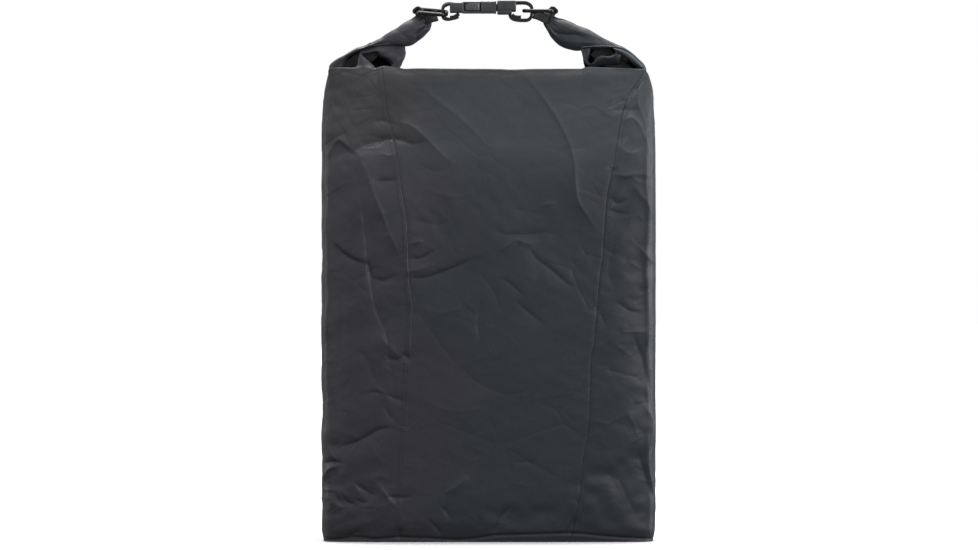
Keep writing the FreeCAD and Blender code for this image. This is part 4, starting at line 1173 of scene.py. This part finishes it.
class Nodes:
    """Short way to build the nodes of one material or of the world."""

    def __init__(self, owner, shader="Principled BSDF"):
        owner.use_nodes = True
        self.tree = owner.node_tree
        self.shader = self.tree.nodes[shader]

    def add(self, kind, **settings):
        """Add a node."""
        node = self.tree.nodes.new(kind)
        for key, value in settings.items():
            setattr(node, key, value)
        return node

    def feed(self, into, source):
        """Set a socket to a plain value, or link another node's output to it."""
        if isinstance(source, bpy.types.NodeSocket):
            self.tree.links.new(source, into)
        else:
            into.default_value = source

    def shade(self, **sources):
        """Feed the shader's sockets, named with underscores for spaces."""
        for name, source in sources.items():
            self.feed(self.shader.inputs[name.replace("_", " ")], source)

    def parts(self, vector):
        """X, Y and Z of a vector."""
        split = self.add("ShaderNodeSeparateXYZ")
        self.feed(split.inputs["Vector"], vector)
        return split.outputs

    def math(self, operation, first, second):
        """Work out something from two numbers or outputs."""
        node = self.add("ShaderNodeMath", operation=operation)
        self.feed(node.inputs[0], first)
        self.feed(node.inputs[1], second)
        return node.outputs[0]

    def times(self, first, second):
        """Product of two numbers or outputs."""
        return self.math("MULTIPLY", first, second)

    def plus(self, first, second):
        """Sum of two numbers or outputs."""
        return self.math("ADD", first, second)

    def minus(self, first, second):
        """Difference of two numbers or outputs."""
        return self.math("SUBTRACT", first, second)

    def smooth(self, item, low, high):
        """Smooth step from 0 at low to 1 at high."""
        if low > high:
            return self.minus(1.0, self.smooth(item, high, low))
        node = self.add("ShaderNodeMapRange", interpolation_type="SMOOTHSTEP")
        self.feed(node.inputs["From Min"], low)
        self.feed(node.inputs["From Max"], high)
        self.feed(node.inputs["Value"], item)
        return node.outputs["Result"]

    def noise(self, coords, scale, detail=3.0, roughness=0.5):
        """Noise from about 0 to 1."""
        node = self.add("ShaderNodeTexNoise")
        self.feed(node.inputs["Scale"], scale)
        self.feed(node.inputs["Detail"], detail)
        self.feed(node.inputs["Roughness"], roughness)
        self.feed(node.inputs["Vector"], coords)
        return node.outputs["Fac"]

    def ramp(self, factor, stops):
        """Colours at positions from 0 to 1, mixed in between."""
        node = self.add("ShaderNodeValToRGB")
        elements = node.color_ramp.elements
        while len(elements) < len(stops):
            elements.new(0.5)
        for element, (position, colour) in zip(elements, stops):
            element.position = position
            element.color = (*colour, 1)
        self.feed(node.inputs["Fac"], factor)
        return node.outputs["Color"]

    def mix(self, factor, first, second, blend="MIX"):
        """Mixture of two colours."""
        node = self.add("ShaderNodeMix", data_type="RGBA", blend_type=blend)
        self.feed(node.inputs["Factor"], factor)
        self.feed(node.inputs["A"], first)
        self.feed(node.inputs["B"], second)
        return node.outputs["Result"]

    def uneven(self, noise, low, high):
        """Colour or grey that changes with a noise from low to high."""
        low, high = (level if isinstance(level, tuple) else (level,) * 3 for level in (low, high))
        return self.ramp(noise, [(0.3, low), (0.7, high)])

    def bump(self, height, distance, strength, normal=None):
        """Normal of a surface raised by a height, on top of another normal if one is given."""
        node = self.add("ShaderNodeBump")
        self.feed(node.inputs["Strength"], strength)
        self.feed(node.inputs["Distance"], distance)
        self.feed(node.inputs["Height"], height)
        if normal is not None:
            self.feed(node.inputs["Normal"], normal)
        return node.outputs["Normal"]


def new_material(name):
    """New material, with the nodes to build it and the coordinates of a place on its object."""
    material = bpy.data.materials.new(name)
    nodes = Nodes(material)
    return material, nodes, nodes.add("ShaderNodeTexCoord").outputs["Object"]


def cloth_plane(nodes, place):
    """Coordinates that run round the object and up it, for threads."""
    parts = nodes.parts(place)
    join = nodes.add("ShaderNodeCombineXYZ")
    sideways = nodes.minus(nodes.math("ABSOLUTE", parts["X"], 0), nodes.math("ABSOLUTE", parts["Y"], 0))
    nodes.feed(join.inputs["X"], sideways)
    nodes.feed(join.inputs["Y"], parts["Z"])
    return join.outputs["Vector"]


def threads(nodes, plane, direction, pitch):
    """Height of parallel threads, one every pitch metres."""
    wave = nodes.add("ShaderNodeTexWave", bands_direction=direction)
    nodes.feed(wave.inputs["Scale"], 0.314 / pitch)
    nodes.feed(wave.inputs["Distortion"], 0.4)
    nodes.feed(wave.inputs["Detail"], 1.0)
    nodes.feed(wave.inputs["Vector"], plane)
    return wave.outputs["Fac"]


def painted_light_and_shade(nodes, parts):
    """Painted light and shade on the cloth: a painted highlight at the right shoulder, painted shade at the
    left shoulder and near the floor, and painted light on the left roll end's upper part and above the fold.
    """
    up = nodes.smooth(parts["Z"], 0.33, 0.40)
    right = nodes.smooth(parts["X"], -0.085, -0.02)
    low = nodes.smooth(parts["Z"], 0.045, 0.0)
    below_fold = nodes.smooth(parts["Z"], 0.4475, 0.4435)
    # painted shade on the upper left shoulder and a painted highlight on the upper right one
    shoulder_shade_and_highlight = nodes.times(up, nodes.minus(nodes.times(right, 0.51), 0.35))
    left = nodes.smooth(parts["X"], 0.0, -0.04)
    # upper part of the left roll end painted lighter: painted light
    roll = nodes.times(nodes.smooth(parts["Z"], 0.458, 0.474), nodes.times(left, 0.6))
    # cloth above the fold painted lighter: painted light
    rim = nodes.times(nodes.minus(1.0, below_fold), 0.1)
    painted_level = nodes.plus(nodes.plus(nodes.times(shoulder_shade_and_highlight, below_fold), 1.0), nodes.plus(roll, rim))
    # painted shade near the floor
    return nodes.minus(painted_level, nodes.times(low, 0.14))


# Colour of the cloth from the left of the bag to its right.
SHELL_TINTS = [(0.44, (0.0382, 0.0366, 0.0462)), (0.60, (0.0303, 0.0356, 0.0428)),
               (0.78, (0.0308, 0.0364, 0.0437)), (1.0, (0.0322, 0.0378, 0.0448))]
WEAVE_PITCH = 0.5 * MM


def shell_material(name, highlight_gain=1.0):
    """Charcoal nylon with a soft coating: fine weave, slow colour drift, fine speckle, and painted light and
    shade, made lighter still for a painted highlight.
    """
    material, nodes, place = new_material(name)
    parts = nodes.parts(place)
    drift = nodes.times(nodes.noise(place, 9.0, 3.0, 0.6), 1.2)
    tint = nodes.ramp(nodes.plus(nodes.plus(nodes.times(parts["X"], 5.0), drift), 0.18), SHELL_TINTS)
    speckle = nodes.uneven(nodes.noise(place, 1400.0, 2.0), 0.82, 1.12)
    # fade scales the colour by the painted light and shade, and by the gain of a painted highlight
    fade = nodes.add("ShaderNodeVectorMath", operation="SCALE")
    nodes.feed(fade.inputs[0], nodes.mix(1.0, tint, speckle, "MULTIPLY"))
    nodes.feed(fade.inputs["Scale"], nodes.times(painted_light_and_shade(nodes, parts), highlight_gain))
    plane = cloth_plane(nodes, place)
    weave = nodes.times(threads(nodes, plane, "X", WEAVE_PITCH), threads(nodes, plane, "Y", WEAVE_PITCH))
    cloth = nodes.bump(weave, 0.05 * MM, 0.5)
    nodes.shade(Base_Color=fade.outputs["Vector"],
                Roughness=nodes.uneven(nodes.noise(place, 26.0, 4.0, 0.6), 0.40, 0.52),
                Specular_IOR_Level=0.44, Sheen_Weight=0.03, Sheen_Roughness=0.35,
                Normal=nodes.bump(nodes.noise(place, 85.0, 3.0, 0.55), 0.4 * MM, 0.3, cloth))
    return material


def painted_shade_material():
    """Near-black, dull and rubbery: painted shade on the inner faces in the roll ends' hollows."""
    material, nodes, place = new_material("painted_shade_black")
    nodes.shade(Base_Color=(0.0025, 0.0025, 0.0035, 1), Specular_IOR_Level=0.08,
                Roughness=nodes.uneven(nodes.noise(place, 60.0), 0.55, 0.7),
                Normal=nodes.bump(nodes.noise(place, 400.0, 2.0), 0.1 * MM, 0.3))
    return material


def moulded_material(name, colour, rough, grain_scale, grain_height):
    """Moulded plastic with a fine grain and slightly uneven gloss."""
    material, nodes, place = new_material(name)
    dark, bright = (tuple(gain * part for part in colour) for gain in (0.85, 1.2))
    nodes.shade(Base_Color=nodes.uneven(nodes.noise(place, 180.0), dark, bright), Specular_IOR_Level=0.5,
                Roughness=nodes.uneven(nodes.noise(place, 320.0), rough * 0.85, rough * 1.15),
                Normal=nodes.bump(nodes.noise(place, grain_scale, 2.0), grain_height, 0.5))
    return material


def webbing_material():
    """Black nylon webbing: ribs along it, with small staggered picks across."""
    material, nodes, place = new_material("woven_webbing")
    woven = nodes.plus(threads(nodes, place, "Y", 1.3 * MM), threads(nodes, place, "DIAGONAL", 0.9 * MM))
    shade = nodes.uneven(nodes.noise(place, 900.0, 2.0), (0.020, 0.020, 0.022), (0.040, 0.040, 0.042))
    nodes.shade(Base_Color=shade, Roughness=nodes.uneven(nodes.noise(place, 150.0), 0.6, 0.8),
                Sheen_Weight=0.12, Specular_IOR_Level=0.3, Normal=nodes.bump(woven, 0.16 * MM, 0.8))
    return material


def tape_material():
    """Smooth grey film of a heat-sealed seam tape."""
    material, nodes, place = new_material("seam_tape_film")
    nodes.shade(Base_Color=nodes.uneven(nodes.noise(place, 40.0), (0.06, 0.065, 0.07), (0.08, 0.085, 0.09)),
                Roughness=nodes.uneven(nodes.noise(place, 90.0), 0.3, 0.45),
                Normal=nodes.bump(nodes.noise(place, 260.0), 0.08 * MM, 0.4))
    return material


def floor_material():
    """Plain pale studio floor."""
    material = bpy.data.materials.new("studio_floor")
    Nodes(material).shade(Base_Color=(0.93, 0.93, 0.93, 1), Roughness=0.8, Specular_IOR_Level=0.1)
    return material


# ---- studio ----

def area_light(name, place, target, size, power):
    """Make a soft rectangular light that looks at a target."""
    data = bpy.data.lights.new(name, "AREA")
    data.shape = "RECTANGLE"
    data.size, data.size_y = size
    data.energy = power
    light = link_object(name, data)
    light.location = place
    light.rotation_euler = (Vector(target) - Vector(place)).to_track_quat("-Z", "Y").to_euler()


def sun_light(name, tilt, strength, softness):
    """Make a very soft overhead light, tilted from straight down towards the front."""
    data = bpy.data.lights.new(name, "SUN")
    data.energy = strength
    data.angle = math.radians(softness)
    link_object(name, data).rotation_euler = (math.radians(-tilt), 0, 0)


# Colour of the surroundings, from straight below, at 0, over level, at 0.5, to straight above, at 1.
WORLD_COLOURS = [(0.0, (0.12, 0.1212, 0.1224)), (0.5, (0.24, 0.2424, 0.2448)), (1.0, (1, 1, 1))]


def make_world():
    """White surroundings, which light the object as a bright ceiling, grey walls and a dim floor would."""
    world = bpy.data.worlds.new("studio")
    nodes = Nodes(world, "Background")
    height = nodes.add("ShaderNodeMapRange")
    nodes.feed(height.inputs["From Min"], -1)
    nodes.feed(height.inputs["Value"], nodes.parts(nodes.add("ShaderNodeTexCoord").outputs["Generated"])["Z"])
    seen = nodes.add("ShaderNodeLightPath").outputs["Is Camera Ray"]
    nodes.shade(Color=nodes.mix(seen, nodes.ramp(height.outputs["Result"], WORLD_COLOURS), (1, 1, 1, 1)))
    bpy.context.scene.world = world


CAMERA_AWAY = 7.0
CAMERA_UP = 0.2492
CAMERA_SENSOR = 36                           # width in millimetres
VIEW_WIDTH = 0.9193                          # of the view at the object, in metres
FLOOR_REACH = 30.0


def make_floor():
    """Big pale floor, which takes shadows but doesn't throw its light back on the object."""
    corners = [(x * FLOOR_REACH, y * FLOOR_REACH, 0) for x, y in ((-1, -1), (1, -1), (1, 1), (-1, 1))]
    floor = make_object("studio_floor", corners, [(0, 1, 2, 3)])
    floor.data.materials.append(floor_material())
    floor.visible_diffuse = False
    floor.visible_glossy = False


def make_studio():
    """White floor and surroundings, soft light from above and from the sides, and a level camera in front."""
    make_floor()
    make_world()
    sun_light("overhead", 24, 3.3, 45)
    area_light("front_right", (1.7, -1.9, 0.9), (0, 0, 0.22), (0.7, 0.8), 18)
    area_light("right_strip", (1.5, 0.25, 0.45), (0.1, 0, 0.25), (0.5, 1.4), 11)
    area_light("front_left", (-1.8, -1.9, 0.3), (0, 0, 0.18), (1.0, 1.2), 4.5)
    area_light("left_strip", (-1.5, 0.3, 0.4), (-0.1, 0, 0.25), (0.4, 1.2), 4)
    camera = bpy.data.cameras.new("camera")
    camera.lens = CAMERA_AWAY * CAMERA_SENSOR / VIEW_WIDTH
    camera.sensor_width = CAMERA_SENSOR
    camera.clip_end = 100
    view = link_object("camera", camera)
    view.location = (0.0005, -CAMERA_AWAY, CAMERA_UP)
    view.rotation_euler = (math.pi / 2, 0, 0)
    bpy.context.scene.camera = view
    bpy.context.scene.view_settings.view_transform = "Standard"


def paint(pieces, material):
    """Give pieces one material."""
    for piece in pieces:
        piece.data.materials.clear()
        piece.data.materials.append(material)


skin, sector, panels = make_panels()
cloth, highlit_edges, lining = make_roll_ends()
cloth += panels + [make_base(skin), make_mouth()]
stitches = make_seam_stitching(skin, sector)
paint(cloth, shell_material("coated_nylon"))
# hem and flap in the same nylon painted 1.7 times lighter: a painted highlight
paint(highlit_edges, shell_material("painted_highlight_nylon_edge", 1.7))
# linings near-black: painted shade in the roll ends' hollows
paint(lining, painted_shade_material())
paint(make_tapes(skin, sector), tape_material())
paint(make_straps(), webbing_material())
paint(stitches, moulded_material("stitching_thread", (0.016, 0.017, 0.018), 0.6, 2500.0, 0.05 * MM))
paint([make_socket(), make_plug()],
      moulded_material("ribbed_buckle_plastic", (0.066, 0.071, 0.076), 0.34, 1500.0, 0.05 * MM))
# latch arms in a lighter copy of the buckle plastic: a painted highlight
paint([make_latch("latch_front", -1, "front_latch"), make_latch("latch_back", 1, "back_latch")],
      moulded_material("painted_highlight_latch_plastic", (0.105, 0.111, 0.117), 0.30, 1500.0, 0.05 * MM))
rings = [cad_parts[name] for name in ("left_ring", "right_ring")]
paint(rings, moulded_material("glossy_ring_plastic", (0.012, 0.012, 0.013), 0.2, 900.0, 0.02 * MM))
# stiffeners near-black: painted shade where they show through the gap in the right roll end
strips = [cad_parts[name] for name in ("collar_stiffener", "left_stiffener", "right_stiffener")]
paint(strips, moulded_material("stiffener_painted_shade", (0.006, 0.006, 0.007), 0.6, 700.0, 0.05 * MM))
make_studio()
